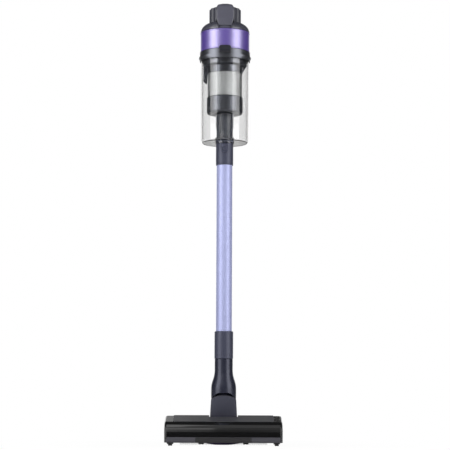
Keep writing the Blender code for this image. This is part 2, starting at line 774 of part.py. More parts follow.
def make_elbow():
    tilt = math.degrees(SWIVEL_TILT)
    depth = (NECK_R + 0.3 * MM) / math.cos(SWIVEL_TILT)
    rings = [
        neck_ring(26 * MM, 36 * MM, 30.5 * MM, 17 * MM, 20),
        neck_ring(19 * MM, 50 * MM, 30.9 * MM, 21 * MM, 10),
        neck_ring(12 * MM, 66 * MM, 30.8 * MM, 24 * MM, 0),
        neck_ring(4.5 * MM, 86 * MM, 29.6 * MM, 27.6 * MM, -12),
        neck_ring(0, SWIVEL_Z, NECK_R + 0.3 * MM, depth, -tilt),
    ]
    elbow = loft("neck_elbow", rings)
    barrel = rod(
        "elbow_barrel",
        BARREL_R,
        (-BARREL_HALF, PITCH_Y, PITCH_Z),
        (BARREL_HALF, PITCH_Y, PITCH_Z),
        LARGE,
    )
    join(elbow, barrel)
    pocket = SWIVEL_CENTRE - SWIVEL_AXIS * (SWIVEL_SPIGOT_LENGTH + 2 * MM)
    cut(
        elbow,
        rod("swivel_bore", SWIVEL_SPIGOT_R + 0.6 * MM, pocket, SWIVEL_CENTRE + SWIVEL_AXIS * 5 * MM, LARGE),
        rod("elbow_duct", 11 * MM, pocket + SWIVEL_AXIS * 2 * MM, (0, PITCH_Y, PITCH_Z)),
        rod("barrel_duct", 9 * MM, (0, PITCH_Y, PITCH_Z), (0, PITCH_Y - 26 * MM, 28 * MM)),
    )
    for side, hand in ((-1, "left"), (1, "right")):
        start = (side * (PIN_INNER - RUN), PITCH_Y, PITCH_Z)
        cut(elbow, rod(f"elbow_bore_{hand}", PIN_R + SLIP, start, (side * PIN_OUTER, PITCH_Y, PITCH_Z)))
    paint(pivot_at(elbow, (0, PITCH_Y, PITCH_Z)), "45464d", 0.4)


def make_pitch_pin(name, side):
    pin = rod(name, PIN_R, (side * PIN_INNER, PITCH_Y, PITCH_Z), (side * PIN_OUTER, PITCH_Y, PITCH_Z))
    thrust_start = (side * (BARREL_HALF + 0.3 * MM), PITCH_Y, PITCH_Z)
    thrust_end = (side * (NOTCH_HALF - 0.3 * MM), PITCH_Y, PITCH_Z)
    join(pin, rod(f"{name}_flange", THRUST_R, thrust_start, thrust_end))
    paint(pin, "8d8f93", 0.3, 1.0)


def make_washer():
    spot = SWIVEL_CENTRE + SWIVEL_AXIS * GAP
    washer = rod("swivel_washer", 25.5 * MM, spot, spot + SWIVEL_AXIS * WASHER_THICK, LARGE)
    hole = rod("washer_hole", SWIVEL_SPIGOT_R + 0.8 * MM, SWIVEL_CENTRE, spot + SWIVEL_AXIS * 5 * MM, LARGE)
    paint(cut(washer, hole), "121214", 0.6)


def make_socket():
    """The upper neck: a bulged foot on the swivel, tapering to the spigot that the pipe pushes onto."""
    top = NECK_TOP + SPIGOT_LENGTH
    drop = SWIVEL_Z - 20 * MM
    profile = [
        (0, top),
        (SPIGOT_R, top),
        (SPIGOT_R, NECK_TOP),
        (NECK_NARROW_R, NECK_TOP),
        (NECK_NARROW_R, NECK_TAPER_TOP),
        (NECK_NARROW_R + 3.4 * MM, NECK_TAPER_TOP - 13 * MM),
        (NECK_R - 1 * MM, NECK_BULGE_TOP + 7 * MM),
        (NECK_R, NECK_BULGE_TOP - 4 * MM),
        (NECK_R, drop),
        (0, drop),
    ]
    socket = turned("neck_socket", profile)
    base = SWIVEL_CENTRE + SWIVEL_AXIS * SOCKET_BASE
    below = rod("below_swivel", 60 * MM, base - SWIVEL_AXIS * 60 * MM, base, LARGE)
    cut(socket, below)
    foot = SWIVEL_CENTRE - SWIVEL_AXIS * SWIVEL_SPIGOT_LENGTH
    join(socket, rod("swivel_spigot", SWIVEL_SPIGOT_R, foot, base + SWIVEL_AXIS * 3 * MM, LARGE))
    cut(
        socket,
        rod("socket_bore", AIR_R, (0, 0, SWIVEL_Z), (0, 0, top + MM), LARGE),
        rod("spigot_bore", AIR_R, foot - SWIVEL_AXIS * MM, SWIVEL_CENTRE + SWIVEL_AXIS * 4 * MM, LARGE),
    )
    paint(pivot_at(socket, SWIVEL_CENTRE), "3c3d47", 0.35)


# ---------------------------------------------------------------- pipe


def make_lower_collar():
    bore = SPIGOT_R + RUN
    seat = TUBE_R + GAP
    step = TUBE_START - GAP
    profile = [
        (LOWER_COLLAR_R - 1 * MM, COLLAR_TOP),
        (LOWER_COLLAR_R, COLLAR_TOP - 1.5 * MM),
        (LOWER_COLLAR_R, COLLAR_BASE),
        (bore, COLLAR_BASE),
        (bore, step),
        (seat, step),
        (seat, COLLAR_TOP),
    ]
    collar = turned("pipe_lower_collar", profile)
    boss_rear = LOWER_COLLAR_R + 6.3 * MM
    boss = box(
        "collar_boss",
        (-10 * MM, LOWER_COLLAR_R - 2 * MM, COLLAR_BASE + 3 * MM),
        (10 * MM, boss_rear, COLLAR_BASE + 38 * MM),
    )
    join(collar, boss)
    middle = COLLAR_BASE + 21 * MM
    half_width, half_height = 6 * MM, 9 * MM
    face = boss_rear + 2 * MM
    back = boss_rear - 4 * MM
    pocket = box(
        "collar_pocket",
        (-half_width - SLIP, back - TRAVEL - GAP, middle - half_height - SLIP),
        (half_width + SLIP, 2 * boss_rear, middle + half_height + SLIP),
    )
    cut(collar, pocket)
    paint(collar, "4a4c55", 0.4)
    button = box(
        "head_release_button",
        (-half_width, back, middle - half_height),
        (half_width, face, middle + half_height),
    )
    paint(pivot_at(button, (0, face, middle)), "6f6894", 0.4)


def make_tube():
    profile = [(TUBE_R, TUBE_END), (TUBE_R, TUBE_START), (TUBE_BORE, TUBE_START), (TUBE_BORE, TUBE_END)]
    paint(turned("pipe_tube", profile), "b4b9e0", 0.35, 0.6)
    rear = math.sqrt(TUBE_BORE**2 - CONDUIT_HALF**2) - SLIP
    conduit = box(
        "power_conduit",
        (-CONDUIT_HALF, rear - CONDUIT_THICK, TUBE_START + 6 * MM),
        (CONDUIT_HALF, rear, TUBE_END - 9 * MM),
    )
    paint(conduit, "1e1e20", 0.6)


def make_upper_collar():
    seat = TUBE_R + GAP
    shoulder = TUBE_END + GAP
    spigot_top = UPPER_TOP + UPPER_SPIGOT_LENGTH
    profile = [
        (UPPER_SPIGOT_R, spigot_top),
        (UPPER_SPIGOT_R, UPPER_TOP),
        (UPPER_COLLAR_R, UPPER_TOP),
        (UPPER_COLLAR_R, UPPER_BASE + 1.5 * MM),
        (UPPER_COLLAR_R - 0.8 * MM, UPPER_BASE),
        (seat, UPPER_BASE),
        (seat, shoulder),
        (UPPER_BORE_R, shoulder),
        (UPPER_BORE_R, spigot_top),
    ]
    collar = turned("pipe_upper_collar", profile)
    face = -UPPER_COLLAR_R - 2 * MM
    middle = TUBE_END + 12 * MM
    radius = 5 * MM
    boss = box("front_boss", (-8 * MM, face, middle - 11 * MM), (8 * MM, 4 * MM - UPPER_COLLAR_R, middle + 11 * MM))
    join(collar, boss)
    pocket_end = face + 4.7 * MM
    cut(collar, rod("front_pocket", radius + SLIP, (0, 2 * face, middle), (0, pocket_end, middle)))
    paint(collar, "4c4d57", 0.4)
    back = pocket_end - TRAVEL - GAP
    button = rod("pipe_release_button", radius, (0, face - 1.2 * MM, middle), (0, back, middle))
    paint(pivot_at(button, (0, face, middle)), "6f6894", 0.4)


# ---------------------------------------------------------------- bin


def make_bin():
    low_r = BIN_R - BIN_TAPER
    floor = BIN_BASE + BIN_WALL
    profile = [
        (BIN_R, BIN_TOP),
        (low_r, BIN_BASE + 4 * MM),
        (low_r - 3 * MM, BIN_BASE),
        (BIN_HOLE_R, BIN_BASE),
        (BIN_HOLE_R, floor),
        (low_r - 3 * MM - BIN_WALL / 2, floor),
        (low_r - BIN_WALL, BIN_BASE + 5 * MM),
        (BIN_BORE, BIN_TOP),
    ]
    paint(turned("dust_bin", profile), "dfe3e6", 0.05, clear=True)
    bore = UPPER_SPIGOT_R + RUN
    stop = UPPER_TOP + UPPER_SPIGOT_LENGTH + MM
    profile = [
        (INLET_SPIGOT_R, INLET_TOP + INLET_SPIGOT_LENGTH),
        (INLET_SPIGOT_R, INLET_TOP),
        (INLET_R, INLET_TOP),
        (INLET_R, INLET_TOP - 29 * MM),
        (INLET_LOW_R, INLET_TOP - 38.5 * MM),
        (INLET_LOW_R, INLET_BASE + 7.5 * MM),
        (INLET_FLANGE_R, INLET_BASE + 7.5 * MM),
        (INLET_FLANGE_R, INLET_BASE),
        (BIN_HOLE_R - RUN, INLET_BASE),
        (BIN_HOLE_R - RUN, BIN_BASE + 0.2 * MM),
        (bore, BIN_BASE + 0.2 * MM),
        (bore, stop),
        (INLET_SPIGOT_R - 2 * MM, stop),
        (INLET_SPIGOT_R - 2 * MM, INLET_TOP + INLET_SPIGOT_LENGTH),
    ]
    paint(turned("inlet_tube", profile), "55585e", 0.45)
    low = BIN_TOP + GAP
    outer, inner = BIN_R - 0.2 * MM, BIN_BORE - 0.7 * MM
    profile = [(outer, low + SEAL_HEIGHT), (outer, low), (inner, low), (inner, low + SEAL_HEIGHT)]
    paint(turned("bin_seal", profile), "18181a", 0.8)


# ---------------------------------------------------------------- cyclone, inside the bin


def make_skirt():
    bore = INLET_SPIGOT_R + RUN
    inside = SKIRT_R - SKIRT_WALL
    profile = [
        (MESH_R, SKIRT_TOP),
        (SKIRT_R, SKIRT_TOP - 2 * MM),
        (SKIRT_R, SKIRT_BASE + 4 * MM),
        (SKIRT_R - 2 * MM, SKIRT_BASE),
        (bore, SKIRT_BASE),
        (bore, SKIRT_BASE + SKIRT_WALL),
        (inside - 2 * MM, SKIRT_BASE + SKIRT_WALL),
        (inside - 2 * MM, SKIRT_TOP),
    ]
    paint(turned("cyclone_skirt", profile), "6a6c72", 0.4)
    inside = MESH_R - MESH_WALL
    profile = [(MESH_R, MESH_TOP), (MESH_R, MESH_BASE), (inside, MESH_BASE), (inside, MESH_TOP)]
    paint(turned("mesh_screen", profile), "b9bcbe", 0.4, 1.0)


def make_cyclone():
    inner_neck = CYCLONE_NECK_R - CYCLONE_WALL
    inner = CYCLONE_R - CYCLONE_WALL
    step = CYCLONE_BASE + CYCLONE_NECK
    profile = [
        (CYCLONE_R, CYCLONE_TOP),
        (CYCLONE_R, step + 2 * MM),
        (CYCLONE_NECK_R, step),
        (CYCLONE_NECK_R, CYCLONE_BASE),
        (inner_neck, CYCLONE_BASE),
        (inner_neck, step),
        (inner, step + 6 * MM),
        (inner, CYCLONE_TOP),
    ]
    body = turned("cyclone_body", profile)
    fin = [
        (-CYCLONE_R + 1 * MM, step + 4 * MM),
        (-CYCLONE_R + 1 * MM, step - 34 * MM),
        (-CYCLONE_NECK_R - 0.5 * MM, step - 41 * MM),
        (-CYCLONE_NECK_R + 1.5 * MM, step + 1 * MM),
    ]
    vane = [
        (CYCLONE_R - 0.5 * MM, step + 4 * MM),
        (CYCLONE_NECK_R - 1 * MM, CYCLONE_BASE + 1 * MM),
        (CYCLONE_NECK_R - 2 * MM, CYCLONE_BASE + 5 * MM),
        (CYCLONE_NECK_R + 4 * MM, step + 4 * MM),
    ]
    join(body, slab("flow_fin", fin, -1.2 * MM, 1.2 * MM, "Y"))
    join(body, slab("inlet_vane", vane, -1.5 * MM, 1.5 * MM, "Y"))
    paint(body, "74777d", 0.4)
    radius = inner - SLIP
    low = step + 6 * MM + GAP
    disc = rod("pre_motor_filter", radius, (0, 0, low), (0, 0, CYCLONE_TOP - MM), LARGE)
    paint(disc, "d8d9dc", 0.95)


# ---------------------------------------------------------------- motor unit


def make_flange():
    lip = BIN_TOP - FLANGE_LIP
    lip_bore = BIN_R + SLIP
    profile = [
        (FLANGE_R - 3 * MM, FLANGE_TOP),
        (FLANGE_R, WEB_BASE + 6 * MM),
        (FLANGE_R, WEB_BASE - 3 * MM),
        (FLANGE_R - 2.5 * MM, lip),
        (lip_bore, lip),
        (lip_bore, WEB_BASE),
        (WEB_HOLE_R, WEB_BASE),
        (WEB_HOLE_R, WEB_TOP),
        (RING_BORE, WEB_TOP),
        (RING_BORE, FLANGE_TOP),
    ]
    flange = turned("main_flange", profile)
    half = LATCH_HALF + RUN
    back = -FLANGE_R + 2.8 * MM
    low = WEB_BASE + 2 * MM
    cut(flange, box("latch_pocket", (-half, -2 * FLANGE_R, low), (half, back, 1.1 * FLANGE_TOP)))
    paint(flange, "2c2f35", 0.4)
    face = back - TRAVEL - GAP
    latch = box(
        "bin_latch",
        (-LATCH_HALF, face - LATCH_THICK, low + GAP),
        (LATCH_HALF, face, low + GAP + LATCH_HEIGHT),
    )
    soften = latch.modifiers.new("soften", "BEVEL")
    soften.width = 1 * MM
    soften.segments = 1
    paint(pivot_at(latch, (0, face, low + LATCH_HEIGHT / 2)), "35383f", 0.35)


def make_housing():
    bulkhead_top = BULKHEAD_BASE + BULKHEAD
    top = RING_TOP - RUN
    profile = [
        (HOUSING_R, top),
        (HOUSING_R, HOUSING_BASE),
        (HOUSING_BORE, HOUSING_BASE),
        (HOUSING_BORE, BULKHEAD_BASE),
        (BULKHEAD_HOLE_R, BULKHEAD_BASE),
        (BULKHEAD_HOLE_R, bulkhead_top),
        (HOUSING_BORE, bulkhead_top),
        (HOUSING_BORE, top),
    ]
    paint(turned("motor_housing", profile), "2a2b30", 0.5)
    profile = [(RING_R, RING_TOP), (RING_R, RING_BASE), (RING_BORE, RING_BASE), (RING_BORE, RING_TOP)]
    paint(turned("trim_ring", profile), "7a68b8", 0.22, 0.9)


def dome_points(radius, rise, steps):
    """The shoulder's side from its foot up: a quarter ellipse stopped short of level."""
    centre = RING_R - 0.4 * MM - 28 * MM
    points = []
    for step in range(steps + 1):
        angle = math.radians(72) * step / steps
        points.append((centre + radius * math.cos(angle), DOME_BASE + rise * math.sin(angle)))
    return points


def make_shoulder():
    outer = dome_points(28 * MM, DOME_RISE, 5)
    inner = dome_points(28 * MM - DOME_WALL, DOME_RISE - DOME_WALL, 4)
    profile = list(reversed(outer)) + inner + [(DOME_HOLE_R, inner[-1][1]), (DOME_HOLE_R, outer[-1][1])]
    paint(turned("shoulder_cover", profile), "6d7079", 0.35)


def make_suction_motor():
    top = MOTOR_BASE + SUCTION_MOTOR_HEIGHT
    motor = rod("suction_motor", SUCTION_MOTOR_R, (0, 0, MOTOR_BASE), (0, 0, top), LARGE)
    shaft_top = MOTOR_BASE + 10 * MM
    cut(motor, rod("rotor_bore", IMPELLER_SHAFT_R + RUN, (0, 0, 0.9 * MOTOR_BASE), (0, 0, shaft_top + GAP), 12))
    paint(motor, "a5a7ab", 0.3, 1.0)
    low = MOTOR_BASE + 18 * MM
    outer, inner = HOUSING_BORE - GAP, SUCTION_MOTOR_R + GAP
    profile = [(outer, low + MOUNT_HEIGHT), (outer, low), (inner, low), (inner, low + MOUNT_HEIGHT)]
    paint(turned("motor_mount", profile), "202022", 0.85)
    disc_top = MOTOR_BASE - RUN
    disc_base = disc_top - 1.6 * MM
    profile = [
        (0, shaft_top),
        (IMPELLER_SHAFT_R, shaft_top),
        (IMPELLER_SHAFT_R, disc_top),
        (IMPELLER_R, disc_top),
        (IMPELLER_R, disc_base),
        (6 * MM, disc_base),
        (4 * MM, WEB_TOP + RUN),
        (0, WEB_TOP + RUN),
    ]
    impeller = turned("impeller", profile)
    for blade in range(BLADES):
        angle = 2 * math.pi * blade / BLADES
        vane = box(f"blade_{blade}", (3 * MM, -0.6 * MM, WEB_TOP + 2 * MM), (24 * MM, 0.6 * MM, disc_base + 0.5 * MM))
        vane.rotation_euler = (0, 0, angle)
        join(impeller, vane)
    paint(impeller, "c4c6c9", 0.35, 1.0)


def lobed_outline():
    """A circle with a ring of shallow grip lobes."""
    points = []
    count = 6 * CAP_LOBES
    for step in range(count):
        angle = 2 * math.pi * step / count
        radius = CAP_R - CAP_LOBE_DEPTH * (1 - math.cos(CAP_LOBES * angle)) / 2
        points.append((radius * math.cos(angle), radius * math.sin(angle)))
    return points


def make_filter_cap():
    cap = slab("filter_cap", lobed_outline(), CAP_BASE, CAP_TOP, "Z")
    skirt_base = CAP_BASE - 10 * MM
    join(cap, rod("cap_skirt", CAP_SKIRT_R, (0, 0, skirt_base), (0, 0, CAP_BASE + 2 * MM), LARGE))
    cut(cap, rod("cap_hollow", CAP_HOLLOW_R, (0, 0, skirt_base - MM), (0, 0, CAP_TOP - 3 * MM), LARGE))
    half = TAB_HALF + GAP
    cut(cap, box("tab_slot", (-half, -2 * CAP_R, CAP_BASE - MM), (half, GAP - TAB_BACK, CAP_TOP + MM)))
    paint(cap, "3a3c47", 0.35)
    make_filter_tab()
    low = skirt_base - 2 * MM
    outer = CAP_HOLLOW_R - SLIP
    top = CAP_TOP - 3 * MM - GAP
    profile = [(outer, top), (outer, low), (FILTER_BORE_R, low), (FILTER_BORE_R, top)]
    paint(turned("exhaust_filter", profile), "dcdcde", 0.95)


def make_filter_tab():
    """The locking tab: it stands on the cap's front and reaches down over the shoulder."""
    top = CAP_TOP + TAB_RISE
    under = [
        (-radius - TAB_CLEAR, height + TAB_CLEAR)
        for radius, height in dome_points(28 * MM, DOME_RISE, 5)[1:]
    ]
    side_outline = (
        [(-TAB_REACH + 3 * MM, under[0][1]), (-TAB_REACH, CAP_BASE + 2 * MM)]
        + [(-TAB_REACH + 1.5 * MM, CAP_BASE + 20 * MM), (-TAB_REACH + 9 * MM, CAP_TOP)]
        + [(-TAB_REACH + 22 * MM, top), (-20 * MM, top), (-12 * MM, CAP_TOP + GAP)]
        + [(-TAB_BACK, CAP_TOP + GAP), (-TAB_BACK, CAP_BASE + GAP)]
        + list(reversed(under))
    )
    tab = slab("filter_tab", side_outline, -TAB_HALF, TAB_HALF, "X")
    shoulder = TAB_HALF - 2 * MM
    front_outline = [
        (-TAB_FOOT_HALF, DOME_BASE),
        (TAB_FOOT_HALF, DOME_BASE),
        (TAB_HALF, CAP_BASE),
        (TAB_HALF, CAP_TOP - 4 * MM),
        (shoulder, CAP_TOP + 2 * MM),
        (shoulder - 5 * MM, top - 1.5 * MM),
        (8 * MM, top),
    ]
    front_outline += [(-x, z) for x, z in reversed(front_outline[2:])]
    keep_common(tab, slab("tab_front", front_outline, -2 * TAB_REACH, 0.5 * TAB_REACH, "Y"))
    paint(pivot_at(tab, (0, 0, CAP_BASE)), "60616a", 0.3)


# ---------------------------------------------------------------- handle and battery


def handle_outline():
    """Side outline of the loop handle, from its root over the grip to the battery dock."""
    top = GRIP_TOP
    upper = [(50 * MM, top), (100 * MM, top + 9 * MM), (130 * MM, top + 4 * MM), (150 * MM, top - 21 * MM)]
    lower = [(150 * MM, top - 66 * MM), (140 * MM, top - 114 * MM), (134 * MM, DOCK_BASE)]
    bar = FLANGE_R + 1.5 * MM
    root = FLANGE_TOP + 1 * MM
    front = [(bar + 1.5 * MM, DOCK_BASE), (bar, DOCK_BASE + 24 * MM), (bar, root), (50 * MM, root)]
    return upper + lower + front


def finger_outline():
    top = GRIP_TOP
    low = top - 108 * MM
    return [
        (70 * MM, low),
        (112 * MM, low),
        (121 * MM, top - 76 * MM),
        (121 * MM, top - 41 * MM),
        (112 * MM, top - 22 * MM),
        (70 * MM, top - 24 * MM),
    ]


def surface_height(y):
    """Height of the handle's top face at a place along it."""
    outline = handle_outline()
    for (y0, z0), (y1, z1) in zip(outline[:2], outline[1:3]):
        if y0 <= y <= y1:
            break
    return z0 + (z1 - z0) * (y - y0) / (y1 - y0)


def make_handle_half(name, side):
    near, far = sorted((side * GAP / 2, side * HANDLE_HALF))
    shell = slab(name, rounded(handle_outline(), 8 * MM), near, far, "X")
    finger = rounded(finger_outline(), 8 * MM)
    cut(shell, slab(f"{name}_finger", finger, near - MM, far + MM, "X"))
    near, far = sorted((-side * MM, side * (HANDLE_HALF - HANDLE_WALL)))
    hollow = slab(f"{name}_hollow", rounded(inset(handle_outline(), HANDLE_WALL), 6 * MM), near, far, "X")
    wall = rounded(inset(finger_outline(), -HANDLE_WALL), 10 * MM)
    cut(hollow, slab(f"{name}_wall", wall, near - MM, far + MM, "X"))
    cut(
        shell,
        hollow,
        rod(f"{name}_ring", RING_R + 0.4 * MM, (0, 0, FLANGE_TOP - MM), (0, 0, 1.1 * CAP_TOP), LARGE),
        rod(f"{name}_flange", FLANGE_R + 0.4 * MM, (0, 0, BIN_TOP), (0, 0, FLANGE_TOP + RUN), LARGE),
        box(
            f"{name}_dock",
            (-RAIL_HALF - SLIP, BATTERY_FRONT + 11 * MM - SLIP, DOCK_BASE - MM),
            (RAIL_HALF + SLIP, BATTERY_REAR - 12 * MM + SLIP, DOCK_BASE + 2 * HANDLE_WALL),
        ),
        rod(f"{name}_power", POWER_R + SLIP, (0, POWER_Y, GRIP_TOP - 6 * MM), (0, POWER_Y, 1.1 * GRIP_TOP)),
        rod(f"{name}_mode", MODE_R + SLIP, (0, MODE_Y, GRIP_TOP - 6 * MM), (0, MODE_Y, 1.1 * GRIP_TOP)),
    )
    for change in list(shell.modifiers) + list(hollow.modifiers):
        change.solver = "MANIFOLD"
    paint(shell, "4a4b52", 0.45)


def make_handle():
    make_handle_half("handle_left", -1)
    make_handle_half("handle_right", 1)
    wide = inset(handle_outline(), -GAP)
    wider = inset(handle_outline(), -GAP - PAD_THICK)
    top = GRIP_TOP - 30 * MM
    pad_outline = [(wide[4][0], top), wide[4], wide[5], wider[5], wider[4], (wider[4][0], top)]
    pad = slab("grip_pad", pad_outline, -PAD_HALF, PAD_HALF, "X")
    paint(pad, "2a2a2d", 0.85)
    low = GRIP_TOP - 6 * MM - BOARD_THICK
    half = HANDLE_HALF - HANDLE_WALL - GAP
    board = box("control_board", (-half, MODE_Y - 8 * MM, low), (half, POWER_Y + 12 * MM, low + BOARD_THICK))
    paint(board, "1f5b3a", 0.5)
    for name, radius, y in (("power_button", POWER_R, POWER_Y), ("mode_button", MODE_R, MODE_Y)):
        face = surface_height(y) + BUTTON_PROUD
        button = rod(name, radius, (0, y, low + BOARD_THICK + TRAVEL + 2 * MM), (0, y, face))
        stem_foot = low + BOARD_THICK + TRAVEL + GAP
        join(button, rod(f"{name}_stem", 2 * MM, (0, y, stem_foot), (0, y, face - 2 * MM), 12))
        paint(pivot_at(button, (0, y, face)), "8a7fbf", 0.35)


def make_battery():
    case = box(
        "battery_case",
        (-BATTERY_HALF, BATTERY_FRONT, CASE_BASE),
        (BATTERY_HALF, BATTERY_REAR, CASE_TOP),
    )
    soften = case.modifiers.new("soften", "BEVEL")
    soften.width = 1.5 * MM
    soften.segments = 1
    inside = BATTERY_HALF - BATTERY_WALL
    low = (-inside, BATTERY_FRONT + BATTERY_WALL, CASE_BASE + BATTERY_WALL)
    cut(case, box("case_hollow", low, (inside, BATTERY_REAR - BATTERY_WALL, CASE_TOP + 10 * MM)))
    latch_low, latch_high = CASE_TOP - 9 * MM, CASE_TOP - 2.5 * MM
    for side, hand in ((-1, "left"), (1, "right")):
        near, far = sorted((side * (inside - 1 * MM), side * (BATTERY_HALF + 1.5 * MM)))
        room = box(
            f"latch_hole_{hand}",
            (near - 3 * MM, BATTERY_Y - 8 * MM - SLIP, latch_low - SLIP),
            (far + 3 * MM, BATTERY_Y + 8 * MM + SLIP, latch_high + SLIP),
        )
        cut(case, room)
        latch = box(
            f"battery_latch_{hand}",
            (near, BATTERY_Y - 8 * MM, latch_low),
            (far, BATTERY_Y + 8 * MM, latch_high),
        )
        paint(pivot_at(latch, (side * BATTERY_HALF, BATTERY_Y, latch_low)), "8a7fbf", 0.4)
    paint(case, "3f4047", 0.5)
    make_cells(CASE_BASE + BATTERY_WALL + GAP)
    lid = box(
        "battery_lid",
        (-BATTERY_HALF, BATTERY_FRONT, CASE_TOP + GAP),
        (BATTERY_HALF, BATTERY_REAR, LID_TOP),
    )
    rail = box(
        "lid_rail",
        (-RAIL_HALF, BATTERY_FRONT + 11 * MM, LID_TOP - MM),
        (RAIL_HALF, BATTERY_REAR - 12 * MM, LID_TOP + RAIL_HEIGHT),
    )
    paint(join(lid, rail), "33343a", 0.5)


def make_cells(low):
    """Two rows of three cells, taped into one pack."""
    pack = None
    for row in (-0.5, 0.5):
        for column in (-1, 0, 1):
            spot = Vector((row * CELL_PITCH_X, BATTERY_Y + column * CELL_PITCH_Y, low))
            cell = rod("cell_block", CELL_R, spot, spot + Vector((0, 0, CELL_HEIGHT)), 16)
            if pack is None:
                pack = cell
            else:
                join(pack, cell)
    paint(pack, "4f8f6a", 0.5)


clear_scene()
PARTS = new_collection("cordless_stick_vacuum")
CUTTERS = new_collection("cutters")
make_chassis()
make_hood()
make_panel()
make_end_cap("end_cap_left", -1)
make_end_cap("end_cap_right", 1)
make_bumper()
make_sole()
make_wheels()
make_brush()
make_drive()
make_elbow()
make_pitch_pin("pitch_pin_left", -1)
make_pitch_pin("pitch_pin_right", 1)
make_washer()
make_socket()
make_lower_collar()
make_tube()
make_upper_collar()
make_bin()
make_skirt()
make_cyclone()
make_flange()
make_housing()
make_shoulder()
make_suction_motor()
make_filter_cap()
make_handle()
make_battery()
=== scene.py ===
import math

import bpy
import numpy as np
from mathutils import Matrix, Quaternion, Vector


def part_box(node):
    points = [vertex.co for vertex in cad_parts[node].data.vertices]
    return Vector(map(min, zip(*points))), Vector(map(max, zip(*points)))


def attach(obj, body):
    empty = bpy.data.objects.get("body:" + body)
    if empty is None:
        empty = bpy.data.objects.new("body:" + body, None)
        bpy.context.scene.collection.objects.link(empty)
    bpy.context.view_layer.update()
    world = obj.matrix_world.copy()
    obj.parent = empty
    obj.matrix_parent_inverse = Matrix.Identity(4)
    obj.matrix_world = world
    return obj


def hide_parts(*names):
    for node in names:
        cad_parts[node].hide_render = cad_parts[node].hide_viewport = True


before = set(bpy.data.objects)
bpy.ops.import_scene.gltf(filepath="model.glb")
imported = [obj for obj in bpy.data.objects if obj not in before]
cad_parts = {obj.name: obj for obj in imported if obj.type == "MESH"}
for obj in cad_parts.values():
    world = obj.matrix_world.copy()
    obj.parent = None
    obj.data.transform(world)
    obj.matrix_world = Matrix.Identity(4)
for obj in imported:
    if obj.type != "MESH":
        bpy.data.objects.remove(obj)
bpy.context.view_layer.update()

# Looks of a cordless stick vacuum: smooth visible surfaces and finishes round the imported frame.
# Lengths here are millimetres until a mesh or a material is made.

MM = 0.001
KEY_GAP = 0.45  # room round a key
ROUND = 144  # columns round a large circle
FINE = 64  # columns round a small one
SHARP = math.radians(33)
BOX = {name: [np.array(corner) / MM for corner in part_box(name)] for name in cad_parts}
LAY = {"X": [2, 0, 1], "Y": [0, 2, 1], "Z": [0, 1, 2]}
TILT = math.radians(20)
TILTED = np.array([[1, 0, 0], [0, math.cos(TILT), -math.sin(TILT)], [0, math.sin(TILT), math.cos(TILT)]])
SWIVEL = np.array([0, 0, 101.0])
BRUSH = np.array([0, -50.0, 25.0])


# ---------------------------------------------------------------- surfaces


def make_mesh(name, points, faces):
    """A mesh object from points in millimetres, its faces turned outwards."""
    mesh = bpy.data.meshes.new(name)
    mesh.from_pydata((np.asarray(points) * MM).tolist(), [], faces)
    mesh.calc_loop_triangles()
    corners = np.empty(len(mesh.loop_triangles) * 3, np.int32)
    mesh.loop_triangles.foreach_get("vertices", corners)
    a, b, c = np.asarray(points)[corners.reshape(-1, 3)].transpose(1, 0, 2)
    if np.einsum("ij,ij->i", a, np.cross(b, c)).sum() < 0:
        mesh.flip_normals()
    piece = bpy.data.objects.new(name, mesh)
    bpy.context.scene.collection.objects.link(piece)
    return smooth(piece)


def smooth(piece, angle=SHARP):
    piece.data.shade_smooth()
    piece.data.set_sharp_from_angle(angle=angle)
    return piece


def quads_over(rows, columns, loop):
    """Corner numbers of the faces between each row and the next, columns joined round."""
    index = np.arange(rows * columns).reshape(rows, columns)
    low = index if loop else index[:-1]
    high = np.roll(index, -1, 0) if loop else index[1:]
    return np.stack([low, np.roll(low, -1, 1), np.roll(high, -1, 1), high], -1).reshape(-1, 4)


def skin(name, grid, loop=False, flat_ends=False):
    """A closed surface over rows and columns of points. Columns join round. Rows join round too if
    loop; otherwise both end rows are closed by a fan to their mean point, or by one flat face."""
    rows, columns = grid.shape[:2]
    faces = quads_over(rows, columns, loop).tolist()
    points = grid.reshape(-1, 3)
    first = np.arange(columns)
    last = first + (rows - 1) * columns
    if not loop and flat_ends:
        faces += [first[::-1].tolist(), last.tolist()]
    elif not loop:
        points = np.vstack([points, grid[[0, -1]].mean(1)])
        tip = np.full(columns, rows * columns)
        faces += np.stack([tip, np.roll(first, -1), first], -1).tolist()
        faces += np.stack([tip + 1, last, np.roll(last, -1)], -1).tolist()
    return make_mesh(name, points, faces)


def laid(grid, axis="Z", centre=(0, 0, 0)):
    """Points (a, b, along) laid in the frame with the last on a named axis, or turned by a matrix."""
    turned_grid = grid[..., LAY[axis]] if isinstance(axis, str) else grid @ np.asarray(axis)
    return turned_grid + np.asarray(centre, float)


def extent(name):
    """The foot, the top and the reach along x of a CAD piece."""
    low, high = BOX[name]
    return low[2], high[2], high[0]


def turns(columns):
    return np.arange(columns) * 2 * np.pi / columns


def around(profile, columns=ROUND, ripple=None):
    """Points (r cos a, r sin a, h) of a profile of radius r and height h carried once round.
    ripple(a, h) is added to r."""
    angle = turns(columns)
    radius, height = (part[:, None] * np.ones(columns) for part in np.asarray(profile, float).T)
    if ripple:
        radius = radius + ripple(angle, height)
    return np.stack([radius * np.cos(angle), radius * np.sin(angle), height], -1)


def turned(name, profile, axis="Z", centre=(0, 0, 0), columns=ROUND, ripple=None):
    """A profile carried once round an axis. One whose ends lie off the axis closes on itself."""
    hollow = min(profile[0][0], profile[-1][0]) > 0.1
    return skin(name, laid(around(profile, columns, ripple), axis, centre), loop=hollow)


